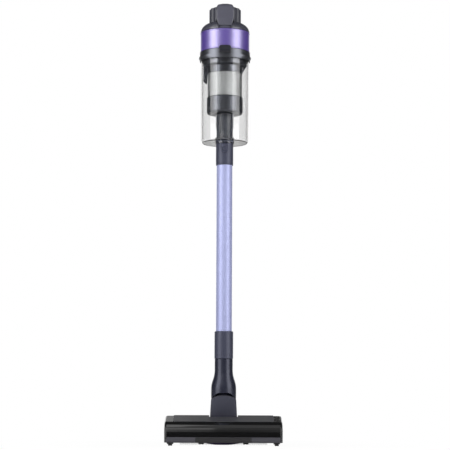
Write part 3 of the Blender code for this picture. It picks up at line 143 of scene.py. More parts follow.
def eased(corners, radius, steps=6, closed=True):
    """Each corner P made a true arc from A to B, w the sine of half the corner's angle:
    (A(1-s)^2 + 2wPs(1-s) + B s^2) / ((1-s)^2 + 2ws(1-s) + s^2). One more point each side keeps the
    flats flat."""
    p = np.asarray(corners, float)
    size = np.broadcast_to(np.asarray(radius, float), len(p))[:, None]
    back, ahead = np.roll(p, 1, 0) - p, np.roll(p, -1, 0) - p
    if not closed:
        back[0], ahead[-1] = -ahead[0], -back[-1]
    back_length = np.linalg.norm(back, axis=1, keepdims=True)
    ahead_length = np.linalg.norm(ahead, axis=1, keepdims=True)
    back, ahead = back / back_length, ahead / ahead_length
    half = np.arccos(np.clip((back * ahead).sum(1, keepdims=True), -0.999999, 0.999999)) / 2
    reach = np.minimum(np.maximum(size, 0.02) / np.tan(half), 0.47 * np.minimum(back_length, ahead_length))
    start, end, weight = p + back * reach, p + ahead * reach, np.sin(half)[..., None]
    s = np.linspace(0, 1, steps + 1)[None, :, None]
    ends = start[:, None] * (1 - s) ** 2 + end[:, None] * s**2
    arcs = (ends + 2 * weight * s * (1 - s) * p[:, None]) / ((1 - s) ** 2 + 2 * weight * s * (1 - s) + s**2)
    spare = 0.25 * np.minimum(0.06 * np.minimum(back_length, ahead_length), 1.2)
    arcs = np.concatenate([(start + back * spare)[:, None], arcs, (end + ahead * spare)[:, None]], 1)
    if closed:
        return arcs.reshape(-1, 2)
    return np.vstack([p[:1], arcs[1:-1].reshape(-1, 2), p[-1:]])


def dense(line, longest):
    """A line with evenly spaced points added wherever two lie further apart than a length."""
    parts = np.maximum(np.ceil(np.linalg.norm(np.diff(line, axis=0), axis=1) / longest).astype(int), 1)
    share = np.concatenate([np.arange(n) / n for n in parts])[:, None]
    start = np.repeat(np.arange(len(parts)), parts)
    return np.vstack([line[start] * (1 - share) + line[start + 1] * share, line[-1:]])


def inset(outline, distance):
    """A closed outline moved inwards along the mean of each point's two side normals."""
    x, y = outline.T
    area = (x * np.roll(y, -1) - np.roll(x, -1) * y).sum()
    after = np.roll(outline, -1, 0) - outline
    after /= np.linalg.norm(after, axis=1, keepdims=True)
    normal = np.stack([-after[:, 1], after[:, 0]], 1)
    both = normal + np.roll(normal, 1, 0)
    return outline + both * (np.sign(area) * distance * 2 / (both**2).sum(1, keepdims=True))


def round_room(name, r, low, high, *place):
    """A plain cylinder to cut a bore with."""
    return turned(name, [(0.02, low), (r, low), (r, high), (0.02, high)], *place)


def edged(low, high, low_edge, high_edge, steps=6):
    """Rings (position, inset) of a slab whose edges are quarter rounds: e(1 - sin f) in, e(1 - cos f)
    up."""
    f = np.linspace(0, np.pi / 2, steps + 1)[:, None]
    shape = np.hstack([1 - np.cos(f), 1 - np.sin(f)])
    first = shape * low_edge + [low, 0]
    last = shape[::-1] * [-abs(high_edge), high_edge] + [high, 0]
    near = [[low, first[0, 1] + 0.4 * abs(low_edge)]] if low_edge else []
    far = [[high, last[-1, 1] + 0.4 * abs(high_edge)]] if high_edge > 0 else []
    return np.vstack([*near, first if low_edge else first[:1], last if high_edge else last[:1], *far])


def prism(name, outline, rings, axis, centre=(0, 0, 0)):
    """An outline carried straight along an axis, moved inwards at each ring by that ring's inset."""
    count = len(outline)
    layers = [np.column_stack([inset(outline, depth), np.full(count, place)]) for place, depth in rings]
    return skin(name, laid(np.stack(layers), axis, centre), flat_ends=True)


def block(name, low, high, axis="Z", corner=2.0, edge=1.0, steps=5):
    """A prism over a rectangle with rounded corners, between two opposite corners."""
    low, high = np.asarray(low, float), np.asarray(high, float)
    a, b, along = np.argsort(LAY[axis])
    rect = [(low[a], low[b]), (high[a], low[b]), (high[a], high[b]), (low[a], high[b])]
    return prism(name, eased(rect, corner, steps), edged(low[along], high[along], edge, edge, steps), axis)


def curve_through(knots, count):
    """Catmull-Rom curve through rows of knots: half of 2b + (c-a)u + (2a-5b+4c-d)u^2 + (3b-a-3c+d)u^3."""
    knots = np.asarray(knots, float)
    all_knots = np.vstack([2 * knots[0] - knots[1], knots, 2 * knots[-1] - knots[-2]])
    t = np.linspace(0, len(knots) - 1, count)
    i = np.minimum(t.astype(int), len(knots) - 2)
    u = (t - i)[:, None]
    a, b, c, d = (all_knots[i + k] for k in range(4))
    return 0.5 * (2 * b + (c - a) * u + (2 * a - 5 * b + 4 * c - d) * u**2 + (3 * b - a - 3 * c + d) * u**3)


def shaped(piece, operation, *others):
    """A Boolean with other pieces, applied, and those pieces removed."""
    for other in others:
        change = piece.modifiers.new(other.name, "BOOLEAN")
        change.operation = operation
        change.object = other
        change.solver = "MANIFOLD"
    bpy.context.view_layer.update()
    done = bpy.data.meshes.new_from_object(piece.evaluated_get(bpy.context.evaluated_depsgraph_get()))
    piece.modifiers.clear()
    piece.data = done
    for other in others:
        bpy.data.objects.remove(other, do_unlink=True)
    return smooth(piece)


def cut(piece, *others):
    return shaped(piece, "DIFFERENCE", *others)


def join(piece, *others):
    return shaped(piece, "UNION", *others)


# ---------------------------------------------------------------- finishes


def linear(code):
    """A linear colour from a six-digit sRGB code."""
    srgb = np.array([int(code[i : i + 2], 16) / 255 for i in (0, 2, 4)])
    rgb = np.where(srgb <= 0.04045, srgb / 12.92, ((srgb + 0.055) / 1.055) ** 2.4)
    return (*rgb.tolist(), 1.0)


def node(tree, kind, sockets=None, **settings):
    """Adds a node with its settings. Each socket, by name or number, gets a value or a link."""
    made = tree.nodes.new(kind)
    for key, value in settings.items():
        setattr(made, key, value)
    for key, value in (sockets or {}).items():
        if isinstance(value, bpy.types.NodeSocket):
            tree.links.new(value, made.inputs[key])
        else:
            made.inputs[key].default_value = value
    return made


def noise(tree, place, size, detail):
    """A noise whose features are about a size in millimetres."""
    sockets = {"Vector": place, "Scale": 1 / (size * MM), "Detail": detail}
    return node(tree, "ShaderNodeTexNoise", sockets).outputs["Fac"]


def stretched(tree, place, scale):
    return node(tree, "ShaderNodeMapping", {"Vector": place, "Scale": scale}).outputs[0]


def blend(tree, share, first, second):
    sockets = {0: share, 6: first, 7: second}
    return node(tree, "ShaderNodeMix", sockets, data_type="RGBA").outputs[2]


def ranged(tree, value, start, end, low, high, **settings):
    """A value going from start to end made to go from low to high."""
    sockets = {"Value": value, "From Min": start, "From Max": end, "To Min": low, "To Max": high}
    return node(tree, "ShaderNodeMapRange", sockets, **settings).outputs[0]


def worked(tree, operation, first, second):
    return node(tree, "ShaderNodeMath", {0: first, 1: second}, operation=operation).outputs[0]


def mixed(tree, share, first, second):
    """Two shaders mixed and led to the material's output."""
    sockets = {0: share, 1: first.outputs[0], 2: second.outputs[0]}
    seen = node(tree, "ShaderNodeMixShader", sockets)
    tree.links.new(seen.outputs[0], tree.nodes["Material Output"].inputs["Surface"])


def plugged(tree, shader, colour, rough, height, depth):
    """Colour, roughness and a bump of a depth in millimetres led to the shader."""
    bump = node(tree, "ShaderNodeBump", {"Height": height, "Distance": depth * MM}).outputs[0]
    for socket, value in (("Base Color", colour), ("Roughness", rough), ("Normal", bump)):
        tree.links.new(value, shader.inputs[socket])


def new_material(name, **sockets):
    """A material, its tree, its Principled node with constants on its sockets, and Object coordinates."""
    material = bpy.data.materials.new(name)
    material.use_nodes = True
    tree = material.node_tree
    shader = tree.nodes["Principled BSDF"]
    for key, value in sockets.items():
        shader.inputs[key.replace("_", " ")].default_value = value
    return material, tree, shader, node(tree, "ShaderNodeTexCoord").outputs["Object"]


def finish(name, code, shade, rough, spread, grain, depth, patch=25, stretch=(1, 1, 1), **sockets):
    """Colour drifts between two codes over patches. A grain in millimetres, stretched, raises a bump
    and moves the roughness by a spread."""
    material, tree, shader, place = new_material(name, **sockets)
    fine = noise(tree, stretched(tree, place, stretch), grain, 2.5)
    tint = blend(tree, noise(tree, place, patch, 3.0), linear(code), linear(shade))
    dull = ranged(tree, fine, 0.3, 0.7, rough - spread, rough + spread)
    plugged(tree, shader, tint, dull, fine, depth)
    return material


# ABS, polished mould: a wet black gloss with the faint waviness of a moulded sheet
lacquer = dict(IOR=1.54, Coat_Weight=0.5, Coat_Roughness=0.05)
gloss_abs = finish("gloss_black_abs", "0b0b0c", "0e0e0f", 0.12, 0.02, 9, 0.012, **lacquer)
# ABS, fine spark-eroded mould: satin, with a grain of about 0.45 mm
satin = dict(spread=0.04, grain=0.45, depth=0.005, IOR=1.54)
neck_abs = finish("satin_elbow_abs", "3d3e4a", "434450", 0.52, Specular_IOR_Level=0.25, **satin)
# The socket's and collar's Specular Tint gives their highlights a painted blue cast, standing in for bluish
# light round them.
socket_abs = finish("satin_socket_abs", "1b1d2a", "1f212e", 0.32, Specular_Tint=linear("e2e4f6"), **satin)
collar_abs = finish("satin_collar_abs", "343645", "393b4a", 0.42, Specular_Tint=linear("e2e4f6"), **satin)
shoulder_abs = finish("satin_shoulder_abs", "3d3d47", "43434e", 0.26, **satin)
cap_abs = finish("satin_filter_cap_abs", "2c2d37", "31323d", 0.5, **satin)
tab_abs = finish("satin_locking_tab_abs", "494954", "4f4f5a", 0.3, **satin)
latch_abs = finish("satin_latch_abs", "1e1f25", "222329", 0.34, **satin)
inlet_abs = finish("satin_inlet_abs", "31343b", "363940", 0.36, **satin)
handle_abs = finish("satin_handle_abs", "34353c", "3a3b42", 0.4, **satin)
battery_abs = finish("satin_battery_abs", "2c2d33", "323339", 0.44, **satin)
key_abs = finish("satin_lilac_key_abs", "7a71a8", "837ab1", 0.34, **satin)
# ABS under a dark aluminium-flake lacquer: satin, with bright soft bands and a deep dark middle
flake = dict(spread=0.03, grain=0.3, depth=0.003, Metallic=0.94)
flange_abs = finish("flake_lacquered_flange_abs", "5e6066", "64666c", 0.34, **flake)
cyclone_abs = finish("flake_lacquered_cyclone_abs", "5a5c62", "5f6167", 0.3, **flake)
skirt_abs = finish("flake_lacquered_skirt_abs", "56585e", "5b5d63", 0.34, **flake)
# ABS, coarse spark-eroded mould: the matt underside and inner frames
chassis_abs = finish("matt_chassis_abs", "1f2022", "262729", 0.6, 0.08, 0.7, 0.03, IOR=1.54)
wheel_abs = finish("matt_wheel_abs", "1b1b1e", "232326", 0.62, 0.08, 0.6, 0.03, IOR=1.54)
# polycarbonate-ABS plate, brushed along its length before a clear lacquer
brushed = dict(stretch=(0.02, 1, 1), IOR=1.54)
panel_pc = finish("brushed_panel_pc_abs", "3c3c40", "434347", 0.36, 0.07, 0.5, 0.008, **brushed)
# thermoplastic elastomer, moulded: soft, dull, with a leather-fine grain
bumper_tpe = finish("moulded_bumper_tpe", "37363d", "3d3c43", 0.6, 0.08, 0.8, 0.02, IOR=1.5)
insert_tpe = finish("moulded_bumper_insert_tpe", "1a191c", "1f1e21", 0.5, 0.06, 0.8, 0.02, IOR=1.5)
grip_tpe = finish("moulded_grip_tpe", "1d1d20", "242427", 0.78, 0.08, 0.9, 0.04, IOR=1.5)
belt_rubber = finish("ground_belt_rubber", "161617", "1d1d1e", 0.85, 0.07, 0.5, 0.03, IOR=1.52)
seal_rubber = finish("moulded_seal_rubber", "0b0b0d", "101012", 0.6, 0.08, 0.5, 0.02, IOR=1.52)
# aluminium, drawn, etched matt and anodised lavender
drawn = dict(stretch=(1, 1, 0.02), Metallic=0.3)
tube_alloy = finish("anodised_lavender_tube", "9ea3ca", "a5aad1", 0.46, 0.02, 0.35, 0.003, **drawn)
# aluminium, spun and dyed violet under a hard pearl lacquer, which makes its highlights white
pearl = dict(Metallic=0.3, Coat_Weight=1.0, Coat_IOR=2.5, Coat_Roughness=0.38, stretch=(0.03, 0.03, 1))
ring_alloy = finish("pearl_lacquered_violet_ring", "4a2c97", "51339f", 0.34, 0.05, 0.4, 0.003, **pearl)
# aluminium and steel as machined: fine turning marks
machined = dict(stretch=(0.05, 1, 1), Metallic=1.0)
motor_alloy = finish("turned_motor_alloy", "8a8c90", "96989c", 0.34, 0.08, 0.3, 0.004, **machined)
pin_steel = finish("ground_pin_steel", "77797d", "828488", 0.28, 0.06, 0.25, 0.003, Metallic=1.0)
# polyamide fibre pile and bristle: dull strands with a soft sheen
pile = dict(patch=2, Sheen_Weight=0.6, Sheen_Roughness=0.4)
pile_nylon = finish("woven_dark_pile", "1d1420", "2a1d2e", 0.92, 0.05, 0.5, 0.25, **pile)
bristle = dict(patch=3, Sheen_Weight=0.3)
bristle_nylon = finish("crimped_bristle_nylon", "43315f", "5b4780", 0.7, 0.1, 0.25, 0.05, **bristle)
# open-cell foam and pleated filter paper
filter_foam = finish("open_cell_filter_foam", "cfd0d4", "dcdde0", 0.95, 0.04, 0.9, 0.4, patch=6)
# glass-epoxy board under a solder mask, and heat-shrunk PVC round the cells
board_epoxy = finish("solder_mask_board", "1b5235", "22613f", 0.42, 0.1, 1.2, 0.03, patch=5)
shrunk = dict(patch=12, Coat_Weight=0.3)
cell_pvc = finish("heat_shrunk_cell_wrap", "437c5b", "4f8f6a", 0.35, 0.06, 3, 0.05, **shrunk)


def clear_polycarbonate():
    """Injection-moulded, clear, with a faint wave from the mould. Lamps pass straight through it."""
    constants = dict(IOR=1.35, Transmission_Weight=1.0, Specular_IOR_Level=0.25)
    material, tree, shader, place = new_material("clear_moulded_polycarbonate", **constants)
    wave = noise(tree, place, 22, 1.0)
    tint = blend(tree, wave, linear("f6f6f6"), linear("f1f1f1"))
    plugged(tree, shader, tint, ranged(tree, wave, 0.3, 0.7, 0.0, 0.02), wave, 0.02)
    open_way = node(tree, "ShaderNodeBsdfTransparent", {"Color": linear("f4f4f4")})
    shadow = node(tree, "ShaderNodeLightPath").outputs["Is Shadow Ray"]
    mixed(tree, shadow, shader, open_way)
    return material


def etched_mesh():
    """Stainless sheet etched with round holes 1.1 mm apart. The piece's own UV map holds arc length and
    height in metres."""
    material, tree, shader, _ = new_material("etched_stainless_mesh", Metallic=1.0)
    flat = node(tree, "ShaderNodeUVMap", uv_map="sheet").outputs[0]
    grid = {"Vector": flat, "Scale": 1 / (1.1 * MM), "Randomness": 0.0}
    cell = node(tree, "ShaderNodeTexVoronoi", grid, voronoi_dimensions="2D").outputs["Distance"]
    metal = ranged(tree, cell, 0.24, 0.32, 0.0, 1.0)
    streak = noise(tree, stretched(tree, flat, (1, 0.03, 1)), 0.8, 2.0)
    steel = blend(tree, streak, linear("aeb0b0"), linear("babcbc"))
    colour = blend(tree, metal, linear("353637"), steel)
    plugged(tree, shader, colour, ranged(tree, streak, 0.3, 0.7, 0.42, 0.56), metal, 0.08)
    return material


bin_pc = clear_polycarbonate()
mesh_steel = etched_mesh()


def dress(piece, body, material, slot_name, *nodes):
    """Gives a made piece its finish and the body it rides on, and hides the CAD nodes it stands for. The
    slot name is not used.
    """
    piece.data.materials.clear()
    piece.data.materials.append(material)
    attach(piece, body)
    if nodes:
        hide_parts(*nodes)
    return piece


def coat(material, *nodes):
    """Gives CAD nodes that stay their finish."""
    for name in nodes:
        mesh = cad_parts[name].data
        mesh.materials.clear()
        mesh.materials.append(material)


# ---------------------------------------------------------------- floor head

# (y, z) along the hood's side, the radius of each of its corners, and the neck's room in it
HOOD_SIDE = [(-81.5, 19.5), (-80.9, 30), (-79, 39), (-74.5, 46.5), (-66, 52.5), (4, 65.5), (8, 62)]
HOOD_SIDE += [(8, 19.5)]
HOOD_EASE = [0.3, 8, 16, 16, 16, 3, 3, 0.3]
NOTCH_SIDE = [(7, 27), (-15.5, 64), (-17, 80), (80, 80), (80, 27)]
NOTCH_HALF = 32.4
PLATE = 2.5  # wall of the hood and the shoulder


def notch():
    ends = [(-NOTCH_HALF, 0), (NOTCH_HALF, 0)]
    return prism("notch_room", np.array(NOTCH_SIDE, float), ends, "X")


def head_hood():
    """The side line of the hood and the same line one wall further in, carried across the head."""
    low, high = BOX["head_hood"]
    whole = eased(HOOD_SIDE, HOOD_EASE, 8)
    per_corner = len(whole) // len(HOOD_SIDE)
    run = slice(per_corner - 1, (len(HOOD_SIDE) - 1) * per_corner + 1)
    outer, inner = whole[run], inset(whole, PLATE)[run][::-1]
    inner[[0, -1], 1] = HOOD_SIDE[0][1]
    rings = edged(low[0], high[0], 0.5, 0.5, 3)
    hood = prism("hood_shell", np.vstack([outer, inner]), rings, "X")
    room = block("arm_room", (-62.3, 4.5, 0), (62.3, 9.5, 44.3), "Y", 0.1, 0)
    cut(hood, notch(), room)
    dress(hood, "floor_head", gloss_abs, "gloss_black", "head_hood")


def top_panel():
    """A thin plate with rounded corners, laid along the hood's sloping top."""
    half = BOX["top_panel"][1][0]
    front, rear = np.array(HOOD_SIDE[4], float), np.array(HOOD_SIDE[5], float)
    length = np.linalg.norm(rear - front)
    c, s = (rear - front) / length
    plan = eased([(-half, 0.6), (half, 0.6), (half, length - 1), (-half, length - 1)], [6, 6, 3, 3], 8)
    turn = np.array([[1, 0, 0], [0, c, s], [0, -s, c]])
    panel = prism("panel_plate", plan, edged(0.3, 1.5, 0.1, 0.45, 4), turn, (0, *front))
    cut(panel, notch())
    dress(panel, "floor_head", panel_pc, "panel_grey", "top_panel")


def end_caps():
    """The side line shrinks to a point as it leaves the hood: scale 1 - k(1 - cos f), out by T sin f."""
    side_line = eased([(-80.6, 7)] + HOOD_SIDE[1:-1] + [(8, 7)], [3, 8, 16, 16, 16, 9, 9, 3], 8)
    middle = np.array([-38.0, 12.0])
    f = np.linspace(0, np.pi / 2, 14)
    for name, sign in (("left", -1), ("right", 1)):
        low, high = BOX[f"end_cap_{name}"]
        near, far = (low[0], high[0]) if sign > 0 else (high[0], low[0])
        scale = 1 - np.outer(1 - np.cos(f), [0.3, 0.105])
        grid = np.empty((len(f) + 1, len(side_line), 3))
        grid[1:, :, 1:] = middle + (side_line - middle) * scale[:, None]
        grid[1:, :, 0] = (near + (far - near) * np.sin(f))[:, None]
        grid[0] = grid[1]
        grid[1, :, 0] += sign * 0.6
        cap = skin(f"end_cap_{name}_shell", grid, flat_ends=True)
        dress(cap, "floor_head", gloss_abs, "cap_grey", f"end_cap_{name}")


def front_bumper():
    """A rounded strip carried across the head. Its face steps back in the middle stretch, where a dark
    insert lies, with a groove each side."""
    low, high = BOX["front_bumper"]
    section = [(low[1], low[2] + 3.2), (low[1] + 2.6, low[2]), (high[1], low[2]), (high[1], high[2])]
    section = eased([*section, (low[1] + 0.6, high[2])], [3, 2, 0.3, 0.3, 1.2], 6)
    step = 63  # x of the step
    face = np.clip((high[1] - section[:, 0]) / (high[1] - low[1]), 0, 1)

    def strip(x, recess):
        grid = np.empty((len(x), len(section), 3))
        grid[..., 0] = x[:, None]
        grid[..., 1] = section[:, 0] + recess[:, None] * face
        grid[..., 2] = section[:, 1]
        return grid

    def rounded_end(x, half, radius):
        end = np.clip((np.abs(x) - half + radius) / radius, 0, 1)
        return radius * (1 - np.sqrt(1 - end**2))

    x = np.concatenate([np.linspace(low[0], -step - 1, 30), np.linspace(-step - 0.6, 1 - step, 12)])
    x = np.concatenate([x, -x[::-1]])
    recess = rounded_end(x, high[0], 3) + 1.6 / (1 + np.exp(8 * (np.abs(x) - step)))
    bumper = skin("bumper_strip", strip(x, recess), flat_ends=True)
    dress(bumper, "floor_head", bumper_tpe, "bumper_rubber", "front_bumper")
    half = step - 1.4
    x = np.linspace(-half, half, 60)
    insert = strip(x, 0.5 + rounded_end(x, half, 0.5))
    insert[..., 2] = np.clip(insert[..., 2], low[2] + 0.3, high[2] - 0.3)
    dress(skin("bumper_insert", insert, flat_ends=True), "floor_head", insert_tpe, "bumper_rubber")


def wheels():
    """Each wheel's half section, with a tread groove, carried round its axle."""
    for end in ("front", "rear"):
        for name in ("left", "right"):
            low, high = BOX[f"{end}_wheel_{name}"]
            middle, radius = (low + high) / 2, (high[2] - low[2]) / 2
            half = 4.5 if end == "front" else 6.0
            reach, groove = half + 2.6, radius / 12
            corners = [(0.02, reach), (2.2, reach), (2.2, half - 1), (radius * 0.62, half - 1)]
            corners += [(radius * 0.7, half), (radius, half), (radius, 0.9), (radius - groove, 0.5)]
            corners += [(r, -h) for r, h in reversed(corners)]
            ease = [0.02, 0.3, 0.2, 0.4, 0.4, 1.4, 0.2, 0.2]
            profile = eased(corners, ease + ease[::-1], 5, closed=False)
            wheel = turned(f"{end}_wheel_{name}_tyre", profile, "X", middle, FINE)
            dress(wheel, f"{end}_wheel_{name}", wheel_abs, "wheel_black", f"{end}_wheel_{name}")


def brush_roll():
    """The core is a turned rod with a stub at each end, and two strips of tufts lie on it."""
    low, high = BOX["brush_core"]
    corners = [(0.02, high[0]), (9, high[0]), (9, high[0] - 7), (4, high[0] - 7), (4, 106), (15, 106)]
    corners += [(15, -106), (4, -106), (4, low[0]), (0.02, low[0])]
    profile = eased(corners, [0.02, 0.6, 0.3, 0.3, 0.3, 1.2, 1.2, 0.3, 0.6, 0.02], 4, closed=False)
    core = turned("brush_roll_core", profile, "X", BRUSH, FINE)
    dress(core, "brush_roll", chassis_abs, "chassis_black", "brush_core")
    for strip in (1, 2):
        dress(bristle_strip(strip), "brush_roll", bristle_nylon, "bristle", f"bristle_strip_{strip}")


def bundles(rings):
    """Points and faces of many closed bundles, from points by bundle, level, column and coordinate."""
    count, levels, columns, _ = rings.shape
    size, column = levels * columns, np.arange(columns)
    first = np.arange(count)[:, None, None] * size
    sides = (first + quads_over(levels, columns, False)).reshape(-1, 4)
    ends = (first + np.stack([column[::-1], column + size - columns])).reshape(-1, columns)
    return rings.reshape(-1, 3), sides.tolist() + ends.tolist()


def lint_pile():
    """A pad with two staggered rows of tufts under it, each tapering down to the floor."""
    count, columns = 96, 5
    low, high = BOX["lint_strip"]
    pad = block("lint_pad", (low[0], low[1], low[2] + 5.5), high, "Z", 1.5, 0.4, 3)
    dress(pad, "floor_head", pile_nylon, "lint_pile", "lint_strip")
    x = np.linspace(low[0] + 2, high[0] - 2, count)[:, None, None]
    y = np.where(np.arange(count) % 2, low[1] + 2.5, high[1] - 2.5)[:, None, None]
    turn = turns(columns)
    height, width = np.array([(5.8, 0.55), (3.0, 0.4), (0.0, 0.1)]).T[..., None]
    height = np.broadcast_to(low[2] + height, (count, len(height), columns))
    rings = np.stack([x + width * np.cos(turn), y + width * np.sin(turn), height], -1)
    dress(make_mesh("lint_tufts", *bundles(rings)), "floor_head", pile_nylon, "lint_pile")


def bristle_strip(strip):
    """Six-sided tufts stand at (x, angle) on a helix of half a turn, on a base carried along it."""
    half = 104
    start = math.pi * (strip - 1)
    x = np.linspace(-102.5, 102.5, 84)
    x = np.concatenate([x, x + (x[1] - x[0]) / 2 - 0.01])[:167]
    row = np.concatenate([np.full(84, -0.75), np.full(83, 0.75)])
    angle = math.pi * (x / half + 1) / 2 + start
    out = np.stack([np.zeros_like(x), np.cos(angle), np.sin(angle)], -1)
    aside = np.stack([np.zeros_like(x), -np.sin(angle), np.cos(angle)], -1)
    along = np.array([1.0, 0, 0])
    turn = np.arange(6) * np.pi / 3
    length = 23.7 - 0.5 * (0.5 + 0.5 * np.sin(x * 2.7 + row))
    levels = [(15.8 + 0 * x, 0.7), (19 + 0 * x, 0.8), (22 + 0 * x, 0.72), (length, 0.6)]
    rings = []
    for reach, width in levels:
        ring = out[:, None] * reach[:, None, None]
        ring = ring + aside[:, None] * (row[:, None, None] + width * np.sin(turn)[:, None])
        ring = ring + along * (x[:, None, None] + width * np.cos(turn)[:, None])
        rings.append(BRUSH + ring)
    tufts, faces = bundles(np.stack(rings, 1))
    t = np.linspace(-half, half, 60)[:, None]
    a = math.pi * (t / half + 1) / 2 + start
    r, w = np.array([(15.35, -1.55), (16.4, -1.2), (16.4, 1.2), (15.35, 1.55)]).T
    y, z = np.cos(a) * r - np.sin(a) * w, np.sin(a) * r + np.cos(a) * w
    base, base_faces = bundles((np.stack([t + 0 * r, y, z], -1) + BRUSH)[None])
    base_faces = [[len(tufts) + i for i in face] for face in base_faces]
    return make_mesh(f"bristle_tufts_{strip}", np.vstack([tufts, base]), faces + base_faces)


# ---------------------------------------------------------------- jointed neck

PITCH = (0, 28, 34)  # middle of the pitch joint
SPIGOT_R = 18.4
# y, z, half width, half depth and lean in degrees
ELBOW_RINGS = [(26, 36, 30.3, 17, 20), (19, 50, 30.7, 21, 10), (12, 66, 30.6, 24, 0)]
ELBOW_RINGS += [(4.5, 86, 29.5, 27.6, -12), (0, 100.2, 28.6, 30.4, -20)]
# radius and height
SOCKET_CURVE = [(27.6, 100), (28.3, 108), (28.4, 122), (28.0, 132), (26.2, 141), (23.0, 151), (21.1, 160)]
SOCKET_CURVE += [(20.5, 168)]


def neck_elbow():
    """Ellipses across the neck whose middle, half width, depth and lean follow one curve, then the
    swivel's bore, joined to the barrel of the pitch joint."""
    y, z, wide, deep, lean = curve_through(ELBOW_RINGS, 48).T[..., None]
    a, rise = turns(ROUND), np.radians(lean)
    up = deep * np.sin(a)
    outside = np.stack([wide * np.cos(a), y + up * np.cos(rise), z + up * np.sin(rise)], -1)
    bore = SPIGOT_R + 0.6
    lip = [(28.7, -0.55), (28.3, -0.2), (27.6, -0.05), (bore + 0.4, -0.05), (bore, -0.45), (bore, -14.35)]
    inside = laid(around(lip), TILTED, SWIVEL)
    elbow = skin("elbow_shell", np.concatenate([outside, inside]), flat_ends=True)
    half = 30.5
    barrel = [(0.02, -half), (19, -half), (19, half), (0.02, half)]
    barrel = eased(barrel, [0.02, 1.6, 1.6, 0.02], 6, closed=False)
    join(elbow, turned("pitch_barrel", barrel, "X", PITCH))
    dress(elbow, "neck_elbow", neck_abs, "neck_grey", "neck_elbow")
    # The black washer reaches out to 26.8 mm, under the socket's foot. Past the real washer, its rim is
    # painted shade in the joint's gap.
    washer = eased([(26.8, 0.75), (26.8, 1.7), (19.3, 1.7), (19.3, 0.75)], 0.3, 4)
    washer = turned("swivel_washer_shade_ring", washer, TILTED, SWIVEL)
    dress(washer, "neck_socket", seal_rubber, "washer_black", "swivel_washer")


def neck_socket():
    """Round the pipe's axis the radius follows one curve of height, cut off below by the swivel's plane
    z = base - y tan(tilt) with a notch in front, then in to the spigot and back up the bore."""
    top, joint, bore = BOX["neck_socket"][1][2], SOCKET_CURVE[-1], 13
    shape = curve_through(SOCKET_CURVE, 90)
    a = turns(ROUND)
    foot_radius, notch_depth = 28.3, 3.0
    base = SWIVEL[2] + 2.0 / math.cos(TILT)
    from_front = (a - 1.5 * np.pi) / math.radians(46)
    bottom = base - foot_radius * np.sin(a) * math.tan(TILT)
    bottom = bottom + notch_depth * np.clip(1 - from_front**4, 0, 1)
    z = bottom + (joint[1] - bottom) * np.linspace(0, 1, 60)[:, None] ** 1.2
    radius = np.interp(z, shape[:, 1], shape[:, 0]) - 1.1 * np.clip(1 - (z - bottom) / 1.4, 0, 1) ** 2
    wall = np.stack([radius * np.cos(a), radius * np.sin(a), z], -1)
    upper = [joint, (joint[0], 193.5), (16.4, 193.5), (16.4, top), (bore, top), (bore, 112)]
    upper = eased(upper, [0.02, 1.0, 0.4, 0.8, 0.5, 0.02], 5, closed=False)[1:]
    spigot = [(bore, 2.5), (bore, -11.6), (bore + 0.4, -12), (SPIGOT_R - 0.4, -12), (SPIGOT_R, -11.6)]
    groove = [(SPIGOT_R, 1.7), (SPIGOT_R + 0.3, 2.0), (20.0, 2.0), (20.4, 7.5), (26.3, 7.5)]
    lower = laid(around(spigot + groove), TILTED, SWIVEL)
    socket = skin("socket_shell", np.concatenate([wall, around(upper), lower]), loop=True)
    dress(socket, "neck_socket", socket_abs, "neck_dark", "neck_socket")


# ---------------------------------------------------------------- pipe


def lower_collar():
    """A turned collar with a soft boss behind it for the release key."""
    low, high = BOX["pipe_lower_collar"]
    base, top, r = low[2], high[2], high[0]
    seat, groove = BOX["pipe_tube"][1][0] + 0.3, r - 0.25
    corners = [(r - 1.2, top), (r, top - 1.6), (r, base + 9.2), (groove, base + 8.8), (groove, base + 8.4)]
    stop = base + 44.1
    corners += [(r, base + 8), (r, base), (16.9, base), (16.9, stop), (seat, stop), (seat, top)]
    ease = [0.5, 0.8, 0.1, 0.1, 0.1, 0.1, 0.8, 0.3, 0.2, 0.2, 0.4]
    collar = turned("lower_collar_shell", eased(corners, ease, 4))
    boss = block("collar_boss", (-10, r - 2, base + 3), (10, high[1], base + 38), "Y", 5, 2.5)
    key_low, key_high = BOX["head_release_button"]
    join(collar, boss)
    gap = np.array([KEY_GAP, 1.8, KEY_GAP])
    cut(collar, block("collar_pocket", key_low - gap, key_high + [KEY_GAP, 20, KEY_GAP], "Y", 2.6, 0))
    dress(collar, "pipe", collar_abs, "collar_grey", "pipe_lower_collar")
    key = ribbed_key("head_release_key", key_low, key_high, "Y", 1, 4)
    dress(key, "head_release", key_abs, "button_lilac", "head_release_button")


def ribbed_key(name, low, high, axis, side, ribs):
    """A rounded key with shallow grooves between its ribs, on the face at one side of the axis."""
    key = block(name, low, high, axis, 2.2, 0.9, 6)
    along = "XYZ".index(axis)
    across = 1 - along
    face = high[along] if side > 0 else low[along]
    grooves = []
    for i in range(1, ribs):
        middle = low[2] + (high[2] - low[2]) * i / ribs
        a, b = np.array(low, float), np.array(high, float)
        a[2], b[2] = middle - 0.5, middle + 0.5
        a[along], b[along] = sorted((face - side * 0.6, face + side * 2))
        a[across], b[across] = a[across] + 1.4, b[across] - 1.4
        grooves.append(block(f"{name}_groove_{i}", a, b, axis, 0.45, 0))
    return cut(key, *grooves)


def pipe_tube():
    base, top, r = extent("pipe_tube")
    tube = turned("drawn_tube", eased([(r, top), (r, base), (r - 1.5, base), (r - 1.5, top)], 0.35, 4))
    dress(tube, "pipe", tube_alloy, "lavender_tube", "pipe_tube")


